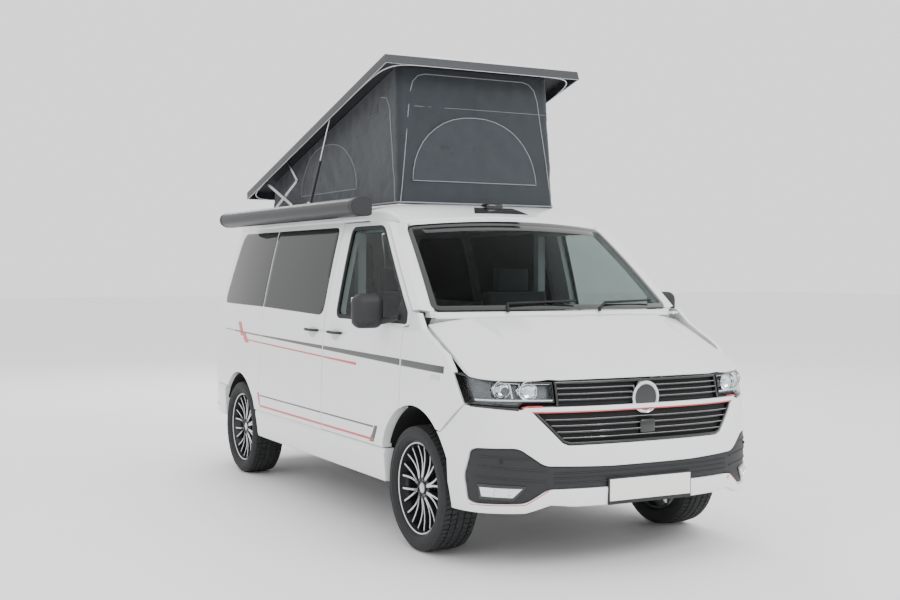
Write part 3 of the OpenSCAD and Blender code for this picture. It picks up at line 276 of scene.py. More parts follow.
makeMaterial("stripeBlack", (0.018, 0.019, 0.021), rough=0.32, spread=0.08, grain=10, coat=0.4)
makeMaterial("canvasCloth", (0.022, 0.028, 0.034), rough=0.92, spread=0.10, grain=9, bump=0.6, bumpScale=420,
             sheen=0.25, weave=True)
makeMaterial("canvasPanel", (0.028, 0.035, 0.042), rough=0.90, spread=0.10, grain=14, bump=0.6, bumpScale=520,
             sheen=0.25, weave=True)
makeMaterial("piping", (0.22, 0.24, 0.26), rough=0.7, spread=0.08, grain=60, bump=0.3, bumpScale=800)
makeMaterial("awningCase", (0.022, 0.024, 0.028), rough=0.42, metal=0.5, spread=0.06, grain=30, bump=0.15,
             bumpScale=1200)
makeMaterial("linkSteel", (0.42, 0.43, 0.45), rough=0.35, metal=1.0, spread=0.1, grain=60, bump=0.1,
             bumpScale=600)
makeMaterial("underSteel", (0.060, 0.062, 0.065), rough=0.6, metal=0.6, spread=0.3, grain=14, bump=0.4,
             bumpScale=180)
makeMaterial("pipeSteel", (0.26, 0.25, 0.24), rough=0.45, metal=0.9, spread=0.25, grain=12, bump=0.25,
             bumpScale=150, spare=(0.22, 0.15, 0.10))
makeMaterial("seatCloth", (0.065, 0.070, 0.078), rough=0.9, spread=0.12, grain=80, bump=0.6,
             bumpScale=480, sheen=0.3, weave=True)
makeMaterial("dashPlastic", (0.035, 0.036, 0.039), rough=0.6, spread=0.1, grain=40, bump=0.5, bumpScale=700)
makeMaterial("furniture", (0.46, 0.44, 0.40), rough=0.45, spread=0.05, grain=20, bump=0.1, bumpScale=300)
makeMaterial("worktop", (0.12, 0.12, 0.125), rough=0.3, spread=0.25, grain=260, bump=0.08, bumpScale=500)
makeMaterial("plateWhite", (0.80, 0.80, 0.78), rough=0.3, spread=0.02, grain=30, coat=0.3)

makeMaterial("lampHousing", (0.16, 0.165, 0.17), rough=0.25, metal=0.8, spread=0.1, grain=20)
makeMaterial("lampLight", (0.90, 0.92, 0.95), rough=0.15, spread=0.02, grain=30, coat=0.6)
# grey for the handle cups: painted shade standing in for the shadowed recess
makeMaterial("cupPaintedShade", (0.52, 0.53, 0.54), rough=0.35, spread=0.02, grain=10, coat=0.4)
makeMaterial("skirtGrey", (0.030, 0.033, 0.037), rough=0.45, spread=0.08, grain=30)
makeMaterial("liningDark", (0.030, 0.032, 0.036), rough=0.85, spread=0.2, grain=60, bump=0.15, bumpScale=900)
makeMaterial("shellEdge", (0.62, 0.64, 0.66), rough=0.4, spread=0.03, grain=40)


# mesh tools
def addObject(name, points, faces, material, body, flat=False, sharp=35):
    mesh = bpy.data.meshes.new(name)
    mesh.from_pydata([tuple(p) for p in points], [], faces)
    bm = bmesh.new()
    bm.from_mesh(mesh)
    bmesh.ops.remove_doubles(bm, verts=bm.verts, dist=1e-6)
    bmesh.ops.recalc_face_normals(bm, faces=bm.faces)
    bm.to_mesh(mesh)
    bm.free()
    return keepMesh(name, mesh, material, body, flat, sharp)


def keepMesh(name, mesh, material, body, flat=False, sharp=35):
    mesh.materials.clear()
    mesh.materials.append(palette[material])
    if flat:
        mesh.shade_flat()
    else:
        mesh.shade_smooth()
        mesh.set_sharp_from_angle(angle=math.radians(sharp))
    o = bpy.data.objects.new(name, mesh)
    bpy.context.scene.collection.objects.link(o)
    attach(o, body)
    return o


def roundOff(points, cut, segments=5):
    # an outline with its corners as curves, cut may be one number or one for each corner
    out = []
    n = len(points)
    for i, p in enumerate(points):
        c = cut[i] if isinstance(cut, (list, tuple)) else cut
        p = np.array(p, float)
        a, b = np.array(points[i - 1], float), np.array(points[(i + 1) % n], float)
        c = min(c, np.linalg.norm(a - p) * 0.48, np.linalg.norm(b - p) * 0.48)
        if c <= 1e-6:
            out.append(tuple(p))
            continue
        s = p + (a - p) / np.linalg.norm(a - p) * c
        e = p + (b - p) / np.linalg.norm(b - p) * c
        for k in range(segments + 1):
            t = k / segments
            out.append(tuple((1 - t) ** 2 * s + 2 * t * (1 - t) * p + t * t * e))
    return out


def refine(points, step, closed=True):
    out = []
    n = len(points)
    for i in range(n if closed else n - 1):
        a, b = np.array(points[i], float), np.array(points[(i + 1) % n], float)
        k = max(1, int(math.ceil(np.linalg.norm(b - a) / step)))
        out += [tuple(a + (b - a) * j / k) for j in range(k)]
    if not closed:
        out.append(tuple(points[-1]))
    return out


def turned(points, anticlockwise):
    area = sum(points[i - 1][0] * points[i][1] - points[i][0] * points[i - 1][1] for i in range(len(points)))
    return points if (area > 0) == anticlockwise else points[::-1]


def offsetLoop(points, distance):
    # moves a closed loop to its left
    pts = np.array(points, float)
    d = np.roll(pts, -1, 0) - pts
    d /= np.maximum(np.linalg.norm(d, axis=1, keepdims=True), 1e-9)
    n = np.stack([-d[:, 1], d[:, 0]], 1)
    both = n + np.roll(n, 1, 0)
    scale = np.maximum((both * both).sum(1, keepdims=True) / 2, 0.35)
    return [tuple(p) for p in pts + both / scale * distance]


def insideLoops(pts, loops):
    hit = np.zeros(len(pts), bool)
    for loop in loops:
        a = np.array(loop, float)
        b = np.roll(a, -1, 0)
        for (x0, y0), (x1, y1) in zip(a, b):
            if y0 == y1:
                continue
            crosses = (y0 > pts[:, 1]) != (y1 > pts[:, 1])
            hit ^= crosses & (pts[:, 0] < (x1 - x0) * (pts[:, 1] - y0) / (y1 - y0) + x0)
    return hit


def nearLoops(pts, loops):
    best = np.full(len(pts), 1e9)
    for loop in loops:
        a = np.array(loop, float)
        b = np.roll(a, -1, 0)
        for p, q in zip(a, b):
            d = q - p
            t = np.clip(((pts - p) @ d) / max(d @ d, 1e-12), 0, 1)
            best = np.minimum(best, np.linalg.norm(pts - p - t[:, None] * d, axis=1))
    return best


def makePanel(name, outline, holes, place, depth, material, body, roll=0.003, step=0.035, side=1,
              lift=0.0):
    # a closed panel on a surface: rolled edges outside, its own thickness inside
    loops = [refine(turned(outline, True), step)] + [refine(turned(h, False), step) for h in holes]
    points, edges, sink = [], [], []
    for loop in loops:
        for k in range(4):
            a = math.pi / 6 * k
            row = offsetLoop(loop, roll * (1 - math.cos(a)))
            start = len(points)
            points += row
            edges += [(start + i, start + (i + 1) % len(row)) for i in range(len(row))]
            sink += [roll * (1 - math.sin(a))] * len(row)
    low, high = np.min(loops[0], 0), np.max(loops[0], 0)
    xs = np.arange(low[0] + step / 2, high[0], step)
    ys = np.arange(low[1] + step / 2, high[1], step)
    grid = np.array([(x, y) for x in xs for y in ys])
    if len(grid):
        grid = grid[insideLoops(grid, loops)]
    if len(grid):
        grid = grid[nearLoops(grid, loops) > roll + step * 0.35]
        points += [tuple(p) for p in grid]
        sink += [0.0] * len(grid)
    flat, _, tris, origins, _, _ = delaunay_2d_cdt([Vector(p) for p in points], edges, [], 0, 1e-7)
    centres = np.array([[sum(flat[i][k] for i in t) / 3 for k in (0, 1)] for t in tris])
    tris = [t for t, keep in zip(tris, insideLoops(centres, loops)) if keep]
    used = sorted({i for t in tris for i in t})
    index = {i: k for k, i in enumerate(used)}
    tris = [[index[i] for i in t] for t in tris]
    outer, inner = [], []
    for i in used:
        p, q = flat[i]
        d = min([sink[j] for j in origins[i]] or [0.0])
        a, b = place(p, q, d + lift), place(p, q, depth + lift)
        outer.append((a.x * side, a.y, a.z))
        inner.append((b.x * side, b.y, b.z))
    n = len(outer)
    count = {}
    for t in tris:
        for k in range(3):
            e = (t[k], t[(k + 1) % 3])
            count[tuple(sorted(e))] = count.get(tuple(sorted(e)), 0) + 1
    faces = [tuple(t) for t in tris] + [tuple(n + i for i in t[::-1]) for t in tris]
    faces += [(a, b, n + b, n + a) for (a, b), c in count.items() if c == 1]
    return addObject(name, outer + inner, faces, material, body)


def lathe(name, profile, centre, material, body, segments=96, side=1, sharp=35, closed=True):
    # profile is (radius, x) turned about the X axis through the centre
    points, faces = [], []
    n = len(profile)
    for i in range(segments):
        a = 2 * math.pi * i / segments
        for r, x in profile:
            points.append((side * (centre[0] + x), centre[1] + r * math.cos(a), centre[2] + r * math.sin(a)))
    for i in range(segments):
        j = (i + 1) % segments
        for k in range(n if closed else n - 1):
            m = (k + 1) % n
            faces.append((i * n + k, i * n + m, j * n + m, j * n + k))
    return addObject(name, points, faces, material, body, sharp=sharp)


def sweep(name, path, radius, material, body, sides=10, squash=1.0, closed=False, joinTo=None):
    # a round bar along a path
    path = [Vector(p) for p in path]
    n = len(path)
    points, faces = [], []
    up = Vector((0, 0, 1))
    for i, p in enumerate(path):
        a = path[i - 1] if i or closed else p
        b = path[(i + 1) % n] if i < n - 1 or closed else p
        t = (b - a).normalized()
        s = t.cross(up)
        if s.length < 0.05:
            s = t.cross(Vector((0, 1, 0)))
        s.normalize()
        w = t.cross(s)
        r = radius[i] if isinstance(radius, (list, tuple)) else radius
        for k in range(sides):
            c = 2 * math.pi * k / sides
            points.append(p + s * r * math.cos(c) + w * r * squash * math.sin(c))
    rings = n if closed else n - 1
    for i in range(rings):
        j = (i + 1) % n
        for k in range(sides):
            m = (k + 1) % sides
            faces.append((i * sides + k, i * sides + m, j * sides + m, j * sides + k))
    if not closed:
        faces.append(tuple(range(sides))[::-1])
        faces.append(tuple((n - 1) * sides + k for k in range(sides)))
    if joinTo is not None:
        start = len(joinTo[0])
        joinTo[0].extend(points)
        joinTo[1].extend([tuple(start + i for i in f) for f in faces])
        return None
    return addObject(name, points, faces, material, body)


def softBox(name, low, high, bevel, material, body, segments=3, turn=None, joinTo=None):
    # a block with rounded edges
    bm = bmesh.new()
    bmesh.ops.create_cube(bm, size=1)
    size = Vector(high) - Vector(low)
    middle = (Vector(high) + Vector(low)) / 2
    bmesh.ops.scale(bm, vec=size, verts=bm.verts)
    bmesh.ops.bevel(bm, geom=bm.edges[:], offset=min(bevel, min(size) * 0.49), segments=segments,
                    affect="EDGES", profile=0.5, clamp_overlap=True)
    if turn is not None:
        bmesh.ops.transform(bm, matrix=turn, verts=bm.verts)
    bmesh.ops.translate(bm, vec=middle, verts=bm.verts)
    bmesh.ops.recalc_face_normals(bm, faces=bm.faces)
    if joinTo is not None:
        bm.verts.ensure_lookup_table()
        start = len(joinTo[0])
        joinTo[0].extend([v.co.copy() for v in bm.verts])
        joinTo[1].extend([tuple(start + v.index for v in f.verts) for f in bm.faces])
        bm.free()
        return None
    mesh = bpy.data.meshes.new(name)
    bm.to_mesh(mesh)
    bm.free()
    return keepMesh(name, mesh, material, body)


def arc(cy, cz, r, a0, a1, n=24):
    return [(cy + r * math.cos(math.radians(a0 + (a1 - a0) * i / n)),
             cz + r * math.sin(math.radians(a0 + (a1 - a0) * i / n))) for i in range(n + 1)]


# side panels, from the B seam to the rear corner, on both sides
pillarFoot = (van["axleF"] + 0.087, 1.330)
pillarHead = (van["axleF"] + 0.649, van["gutter"] - 0.018)
hingeLine = (van["roofRear"] + 0.018, van["gutter"] + 0.034)
seam = 0.0022          # half of the dark line between two panels
windowTop, windowBase = 1.820, 1.280


def turnAt(z):
    return rearAt(z) - van["corner"]


def rearEdge(z):
    return turnAt(z) + van["corner"] * math.pi / 2


archStart = math.degrees(math.asin((van["doorFoot"] - rearArch["z"]) / rearArch["r"]))
bumperTop = math.degrees(math.asin((0.640 - rearArch["z"]) / rearArch["r"]))
lamp = {"low": 0.850, "high": 1.255, "reach": 0.118}


def lampFront(z):
    return rearEdge(z) - van["corner"] * math.pi / 2 + lamp["reach"]


quarterEdge = [(cSeam + seam, van["doorFoot"] + seam)]
quarterEdge += arc(rearArch["y"], rearArch["z"], rearArch["r"], 180 - archStart, bumperTop, 30)
quarterEdge += [(rearEdge(0.642) - 0.004, 0.642)]
quarterEdge += [(rearEdge(z), z) for z in (0.75, lamp["low"] - seam)]
quarterEdge += [(lampFront(lamp["low"]), lamp["low"] - seam), (lampFront(lamp["high"]), lamp["high"] + seam)]
quarterEdge += [(rearEdge(z) - 0.002, z) for z in (lamp["high"] + seam, 1.45, 1.65, van["gutter"])]
quarterEdge += [(cSeam + seam, van["gutter"])]
rearWindow = roundOff([(cSeam + 0.018, 1.300), (cSeam + 0.018, 1.818), (turnAt(windowTop) - 0.125, 1.820),
                       (turnAt(windowBase) - 0.085, 1.308)], [0.012, 0.012, 0.09, 0.07])
slideWindow = roundOff([(bSeam + 0.049, 1.276), (bSeam + 0.062, 1.816), (cSeam - 0.018, 1.818),
                        (cSeam - 0.018, 1.300)], [0.07, 0.05, 0.012, 0.012])
slideEdge = [(bSeam + seam, van["doorFoot"] + seam), (bSeam + seam, van["gutter"] - 0.006),
             (cSeam - seam, van["gutter"] - 0.006), (cSeam - seam, van["doorFoot"] + seam)]
# the sliding door's outline, its corners rounded
slideEdge = roundOff(slideEdge, 0.012)


def waistCrease(p, z, d):
    # a shallow groove under the belt line and a soft one above the sill
    groove = 0.0045 * math.exp(-((z - 1.175) / 0.016) ** 2) + 0.003 * math.exp(-((z - 0.600) / 0.03) ** 2)
    return sidePoint(p, z, d + groove)


for side, name in ((1, "left"), (-1, "right")):
    panel = makePanel(name + "QuarterPanel", quarterEdge, [rearWindow], waistCrease, van["wall"],
                      "whitePaint", "body", side=side)
    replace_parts(panel, name + "_side_panel")
slider = makePanel("slidingDoorPanel", slideEdge, [slideWindow], waistCrease, van["wall"], "whitePaint",
                   "body", side=-1)
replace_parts(slider, "sliding_door")
makePanel("leftMiddleWall", slideEdge, [slideWindow], waistCrease, van["wall"], "whitePaint", "body",
          side=1)
for side, name in ((1, "left"), (-1, "right")):
    head = [(bSeam, van["gutter"] - 0.0055), (bSeam, van["gutter"]), (cSeam, van["gutter"]),
            (cSeam, van["gutter"] - 0.0055)]
    makePanel(name + "Gutter", head, [], sidePoint, van["wall"], "whitePaint", "body",
              side=side, roll=0.001)

# side glass, flush and dark, running up to the door's seam
paneRear = roundOff([(cSeam + 0.006, 1.284), (cSeam + 0.006, 1.832), (turnAt(windowTop) - 0.108, 1.834),
                     (turnAt(windowBase) - 0.066, 1.290)], [0.01, 0.01, 0.10, 0.08])
paneSlide = roundOff([(bSeam + 0.034, 1.260), (bSeam + 0.046, 1.832), (cSeam - 0.006, 1.832),
                      (cSeam - 0.006, 1.284)], [0.08, 0.06, 0.01, 0.01])
for side, name in ((1, "left"), (-1, "right")):
    pane = makePanel(name + "SlidePane", paneSlide, [], sidePoint, van["glass"], "darkGlass", "body",
                     roll=0.0015, side=side, lift=-0.0016)
    makePanel(name + "RearPane", paneRear, [], sidePoint, van["glass"], "darkGlass", "body",
              roll=0.0015, side=side, lift=-0.0016)
    if side == 1:
        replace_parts(pane, "side_windows")

# sills below the doors
sillEdge = [(-1.172, van["sill"] + 0.01), (-1.162, van["sill"]), (1.03, van["sill"]), (1.046, 0.362)]
sillEdge += [p for p in arc(rearArch["y"], rearArch["z"], rearArch["r"], 180, 180 - archStart, 8)][1:]
sillEdge += [(-1.172, van["doorFoot"])]


def sillPoint(p, z, d):
    # the rocker tucks in under the doors with a ledge along its top
    ledge = 0.010 * math.exp(-((z - van["doorFoot"]) / 0.014) ** 2)
    return sidePoint(p, z, d + ledge)


for side, name in ((1, "left"), (-1, "right")):
    sill = makePanel(name + "Sill", sillEdge, [], sillPoint, van["wall"], "whitePaint", "body",
                     side=side, roll=0.006)
    if side == 1:
        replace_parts(sill, "side_sills")
print("sides done")

# front doors
doorEdge = [(doorY, van["doorFoot"] + 0.006), (doorY, 1.238), (pillarFoot[0] - 0.002, 1.250),
            (pillarFoot[0] + 0.004, 1.330), pillarHead, (pillarHead[0] + 0.040, van["gutter"] - 0.007),
            (bSeam - 0.005, van["gutter"] - 0.007), (bSeam - 0.005, van["doorFoot"] + 0.006)]
archCut = [p for p in arc(frontArch["y"], frontArch["z"], frontArch["r"] + 0.003, 67, 20, 24)
           if doorY < p[0] < frontArch["y"] + frontArch["half"] + 0.003 and p[1] > van["doorFoot"] + 0.006]
archFoot = frontArch["y"] + frontArch["half"] + 0.003
doorEdge = [(archFoot, van["doorFoot"] + 0.006)] + archCut[::-1] + [(doorY, archCut[0][1])] + doorEdge[1:]
doorEdge = roundOff(doorEdge, [0.0] * (len(archCut) + 2) + [0.0, 0.02, 0.006, 0.06, 0.02, 0.012, 0.012])
doorWindow = roundOff([(pillarFoot[0] + 0.034, 1.262), (pillarFoot[0] + 0.040, 1.312),
                       (pillarHead[0] + 0.006, windowTop - 0.022), (pillarHead[0] + 0.060, windowTop),
                       (bSeam - 0.165, windowTop), (bSeam - 0.185, 1.262)],
                      [0.01, 0.01, 0.04, 0.03, 0.05, 0.06])
doorRubber = [tuple(p) for p in offsetLoop(refine(turned(doorWindow, True), 0.03), 0.016)]
for side, name in ((1, "left"), (-1, "right")):
    body = "front_door_" + name
    door = makePanel(name + "DoorPanel", doorEdge, [doorWindow], waistCrease, van["wall"], "whitePaint", body,
                     side=side)
    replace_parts(door, body)
    seal = makePanel(name + "DoorSeal", [tuple(p) for p in offsetLoop(refine(turned(doorWindow, True),
                                                                             0.03), -0.010)],
                     [doorRubber], sidePoint, 0.02, "rubber", body, side=side, roll=0.004,
                     step=0.012, lift=-0.0022)
    glass = makePanel(name + "DoorGlass", [tuple(p) for p in offsetLoop(refine(turned(doorWindow, True),
                                                                               0.03), 0.004)],
                      [], sidePoint, 0.004, "tintedGlass", body, side=side, roll=0.0006,
                      lift=0.008)
    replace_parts(glass, "door_glass_" + name)
print("doors done")

# front wings
lampOuter = ((van["axleF"] - 0.432, 1.031), (van["axleF"] - 0.527, 0.867))
bumperEdge = ((van["axleF"] - 0.340, 0.705), (van["axleF"] - 0.527, 0.867))
archTop = [p for p in arc(frontArch["y"], frontArch["z"], frontArch["r"], 67, 180, 60)
           if p[0] < doorY - 0.006 and p[1] > 0.705]
wingEdge = [(doorY - 0.006, archTop[0][1]), (doorY - 0.006, 1.232), (pillarFoot[0] - 0.010, 1.242),
            (pillarFoot[0] - 0.004, 1.322), (van["axleF"] - 0.004, 1.318), (van["axleF"] - 0.096, 1.236),
            (van["axleF"] - 0.359, 1.110), (lampOuter[0][0] + 0.004, lampOuter[0][1]),
            (lampOuter[1][0] + 0.004, lampOuter[1][1]), (bumperEdge[0][0] + 0.003, 0.707)]
wingEdge = wingEdge + archTop[::-1]
for side, name in ((1, "left"), (-1, "right")):
    wing = makePanel(name + "Wing", wingEdge, [], waistCrease, 0.030, "whitePaint", "body",
                     side=side, step=0.03)
    if side == 1:
        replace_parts(wing, "front_wings")


# bonnet, with its two long creases
def bonnetSkin(p, q, d):
    u, v = p / 0.86, q / 0.85
    crease = 0.006 * math.exp(-((abs(u) - 0.62 - 0.12 * v) / 0.035) ** 2)
    hollow = 0.010 * math.exp(-((abs(u) - 0.84) / 0.10) ** 2) * math.sin(math.pi * min(1, max(0, v)))
    point = bonnetPoint(u, v, d)
    point.z += crease - hollow
    return point


bonnetEdge = roundOff([(-0.86, 0.0), (0.86, 0.0), (0.86, 0.85), (-0.86, 0.85)], [0.02, 0.02, 0.01, 0.01])
bonnet = makePanel("bonnetPanel", bonnetEdge, [], bonnetSkin, 0.026, "whitePaint", "bonnet",
                   roll=0.004, step=0.03)
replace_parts(bonnet, "bonnet")

# bumper: outline of one half from the middle, then mirrored


def fromX(points):
    return [(noseFromX(x, z), z) for x, z in refine(points, 0.04, closed=False)]


bumperFoot = frontArch["y"] - frontArch["half"]
archSide = [(bumperFoot - 0.02, 0.315), (bumperFoot, 0.45), (bumperFoot, 0.568)]
archSide += [p for p in arc(frontArch["y"], frontArch["z"], frontArch["r"], 180, 90, 40)
             if p[0] > bumperFoot and p[1] < 0.705]
upper = [(bumperEdge[0][0], 0.7035), (bumperEdge[1][0] - 0.002, bumperEdge[1][1] - 0.003)]
foot = [(0.0, 0.350), (0.450, 0.354), (0.576, 0.366), (0.690, 0.324), (0.880, 0.315)]
half = [(noseFromX(x, z), z) for x, z in refine(foot, 0.05, False)]
half += [(noseFromY(y, z), z) for y, z in archSide + upper]
half += fromX([(0.880, 0.859), (0.700, 0.847), (0.674, 0.864), (0.627, 0.805), (0.514, 0.680), (0.480, 0.666),
               (0.0, 0.666)])
bumperOutline = half + [(-p, z) for p, z in half[::-1]]
insertHalf = [(0.256, 0.553), (0.608, 0.566), (0.728, 0.656), (0.904, 0.650), (0.920, 0.506), (0.904, 0.362),
              (0.696, 0.374), (0.592, 0.446)]
insertOutline = fromX(roundOff(insertHalf + [(-x, z) for x, z in insertHalf[::-1]], 0.03))


def unique(points):
    out = []
    for p in points:
        if not out or math.dist(p, out[-1]) > 0.0015:
            out.append(p)
    while math.dist(out[0], out[-1]) < 0.0015:
        out.pop()
    return out


bumper = makePanel("bumperSkin", unique(bumperOutline), [unique(insertOutline)], nosePoint, 0.034,
                   "whitePaint", "body", roll=0.005, step=0.03)
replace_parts(bumper, "front_bumper")
insert = makePanel("bumperInsert", offsetLoop(turned(unique(insertOutline), True), 0.002), [], nosePoint,
                   0.028, "bumperPlastic", "body", roll=0.006, step=0.03, lift=0.010)
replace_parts(insert, "bumper_insert")
print("front skins done")


# roof cap, roof panel and windscreen
def capSkin(p, q, d):
    return capPoint(p / 0.7, q / 0.33, d)


cap = makePanel("roofCap", [(-0.7, 0.0), (0.7, 0.0), (0.7, 0.33), (-0.7, 0.33)], [], capSkin, 0.024,
                "whitePaint", "body", step=0.03)
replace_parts(cap, "roof_cap")


def roofSkin(p, q, d):
    return roofPoint(p / 0.9 * math.pi / 2, q, d)


well = {"half": 0.564, "front": -0.596, "rear": 1.684}
wellEdge = [(-0.47, well["front"]), (0.47, well["front"]), (0.47, well["rear"]), (-0.47, well["rear"])]
makePanel("roofSkin", [(-0.9, van["roofFront"]), (0.9, van["roofFront"]), (0.9, van["roofRear"]),
                       (-0.9, van["roofRear"])], [wellEdge], roofSkin, 0.026, "whitePaint", "body",
          step=0.05)
screenEdge = roundOff([(-0.70, 0.01), (0.70, 0.01), (0.70, 0.635), (-0.70, 0.635)], 0.045)


def screenSkin(p, q, d):
    return screenPoint(p / 0.7 * 0.985, q / 0.65, d)


screen = makePanel("windscreenGlass", screenEdge, [], screenSkin, van["glass"], "tintedGlass", "body",
                   roll=0.001, step=0.05)
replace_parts(screen, "windscreen")
frit = offsetLoop(refine(turned(screenEdge, True), 0.03), 0.028)
makePanel("windscreenBand", screenEdge, [[(p, min(q, 0.600)) for p, q in frit]], screenSkin, 0.001,
          "glossBlack", "body", roll=0.0003, step=0.04, lift=-0.0006)
print("roof and windscreen done")


# a Geometry Nodes tree that repeats a shape in a row or round a centre
def makeRepeater():
    tree = bpy.data.node_groups.new("repeater", "GeometryNodeTree")
    face = tree.interface
    face.new_socket("Geometry", in_out="INPUT", socket_type="NodeSocketGeometry")
    face.new_socket("Count", in_out="INPUT", socket_type="NodeSocketInt")
    for name in ("Centre", "Step", "Turn"):
        face.new_socket(name, in_out="INPUT", socket_type="NodeSocketVector")
    face.new_socket("Material", in_out="INPUT", socket_type="NodeSocketMaterial")
    face.new_socket("Geometry", in_out="OUTPUT", socket_type="NodeSocketGeometry")
    new, link = tree.nodes.new, tree.links.new
    given, result = new("NodeGroupInput"), new("NodeGroupOutput")
    index = new("GeometryNodeInputIndex")
    move, spin = new("ShaderNodeVectorMath"), new("ShaderNodeVectorMath")
    move.operation, spin.operation = "MULTIPLY_ADD", "MULTIPLY"
    toRotation = new("FunctionNodeEulerToRotation")
    points, put = new("GeometryNodePoints"), new("GeometryNodeInstanceOnPoints")
    realize, paint = new("GeometryNodeRealizeInstances"), new("GeometryNodeSetMaterial")
    link(given.outputs["Step"], move.inputs[0])
    link(index.outputs[0], move.inputs[1])
    link(given.outputs["Centre"], move.inputs[2])
    link(given.outputs["Turn"], spin.inputs[0])
    link(index.outputs[0], spin.inputs[1])
    link(spin.outputs[0], toRotation.inputs[0])
    link(given.outputs["Count"], points.inputs["Count"])
    link(move.outputs[0], points.inputs["Position"])
    link(points.outputs[0], put.inputs["Points"])
    link(given.outputs["Geometry"], put.inputs["Instance"])
    link(toRotation.outputs[0], put.inputs["Rotation"])
    link(put.outputs[0], realize.inputs[0])
    link(realize.outputs[0], paint.inputs["Geometry"])
    link(given.outputs["Material"], paint.inputs["Material"])
    link(paint.outputs[0], result.inputs[0])
    return tree


repeater = makeRepeater()


def repeatShape(name, shape, count, centre, step, turn, material, body, sharp=35):
    # shape is (points, faces) about its own origin
    mesh = bpy.data.meshes.new(name)
    mesh.from_pydata([tuple(p) for p in shape[0]], [], shape[1])
    bm = bmesh.new()
    bm.from_mesh(mesh)
    bmesh.ops.recalc_face_normals(bm, faces=bm.faces)
    bm.to_mesh(mesh)
    bm.free()
    o = bpy.data.objects.new(name + "Seed", mesh)
    bpy.context.scene.collection.objects.link(o)
    m = o.modifiers.new("repeat", "NODES")
    m.node_group = repeater
    inputs = {s.name: s.identifier for s in repeater.interface.items_tree if s.in_out == "INPUT"}
    for key, value in (("Count", count), ("Centre", centre), ("Step", step), ("Turn", turn)):
        m[inputs[key]] = value
    m[inputs["Material"]] = palette[material]
    made = bpy.data.meshes.new_from_object(o.evaluated_get(bpy.context.evaluated_depsgraph_get()))
    bpy.data.objects.remove(o)
    return keepMesh(name, made, material, body, sharp=sharp)


# wheels
wheel = {
    "centreX": van["track"] / 2, "rim": van["rim"], "tyre": van["tyre"] - 0.0005, "width": van["tyreWidth"],
    "spokes": 10, "spread": 7.8, "hubR": 0.060, "faceX": 0.068, "lipX": 0.090, "pitches": 70, "tread": 0.0075,
    "discR": 0.165,
}


def spokeLeg(lean, width, back, lift=0.0, inner=0.0):
    # one leg of a V spoke, from the hub to the lip
    points, faces = [], []
    steps = 8
    for i in range(steps + 1):
        t = i / steps
        r = wheel["hubR"] - 0.012 + inner + (wheel["rim"] - 0.013 - 2 * inner - wheel["hubR"] + 0.012) * t
        a = math.radians(lean * (1.2 + wheel["spread"] * t ** 0.8))
        face = wheel["faceX"] - 0.010 * math.sin(math.pi * t) + 0.006 * t ** 3 + lift
        w = width * (1.15 - 0.35 * t)
        ring = [(-w, face - back), (-w, face - 0.004), (-w * 0.8, face), (w * 0.8, face), (w, face - 0.004),
                (w, face - back)]
        for s, x in ring:
            y, z = r * math.sin(a) + s * math.cos(a), r * math.cos(a) - s * math.sin(a)
            points.append((x, y, z))
    for i in range(steps):
        for k in range(6):
            m = (k + 1) % 6
            faces.append((i * 6 + k, i * 6 + m, i * 6 + 6 + m, i * 6 + 6 + k))
    faces += [(0, 1, 2, 3, 4, 5), tuple(steps * 6 + k for k in (5, 4, 3, 2, 1, 0))]
    return points, faces


def joined(*shapes):
    points, faces = [], []
    for p, f in shapes:
        start = len(points)
        points += list(p)
        faces += [tuple(start + i for i in face) for face in f]
    return points, faces


def flipped(shape, side):
    return [(side * p[0], p[1], p[2]) for p in shape[0]], shape[1]


def treadBlocks():
    # the blocks of one pitch: two shoulders, two ribs and the middle one
    points, faces = [], []
    pitch = 2 * math.pi * wheel["tyre"] / wheel["pitches"]
    for x0, x1, skew, share in ((-0.100, -0.064, 0.006, 0.80), (-0.057, -0.025, 0.004, 0.90),
                                (-0.018, 0.018, 0.0, 1.0), (0.025, 0.057, -0.004, 0.90),
                                (0.064, 0.100, -0.006, 0.80)):
        start = len(points)
        for r in (wheel["tyre"] - wheel["tread"] - 0.002, wheel["tyre"]):
            grow = 0.0 if r < wheel["tyre"] else -0.0006
            for x, s in ((x0, -1), (x1, -1), (x1, 1), (x0, 1)):
                shoulder = 0.006 if abs(x) > 0.09 else 0.0
                y = s * (pitch * share / 2 + grow) + skew * (1 if x > (x0 + x1) / 2 else -1)
                points.append((x, y, math.sqrt(max(0.0, (r - shoulder) ** 2 - y * y))))
        faces += [tuple(start + i for i in f) for f in ((0, 3, 2, 1), (4, 5, 6, 7), (0, 1, 5, 4),
                                                        (1, 2, 6, 5), (2, 3, 7, 6), (3, 0, 4, 7))]
    return points, faces


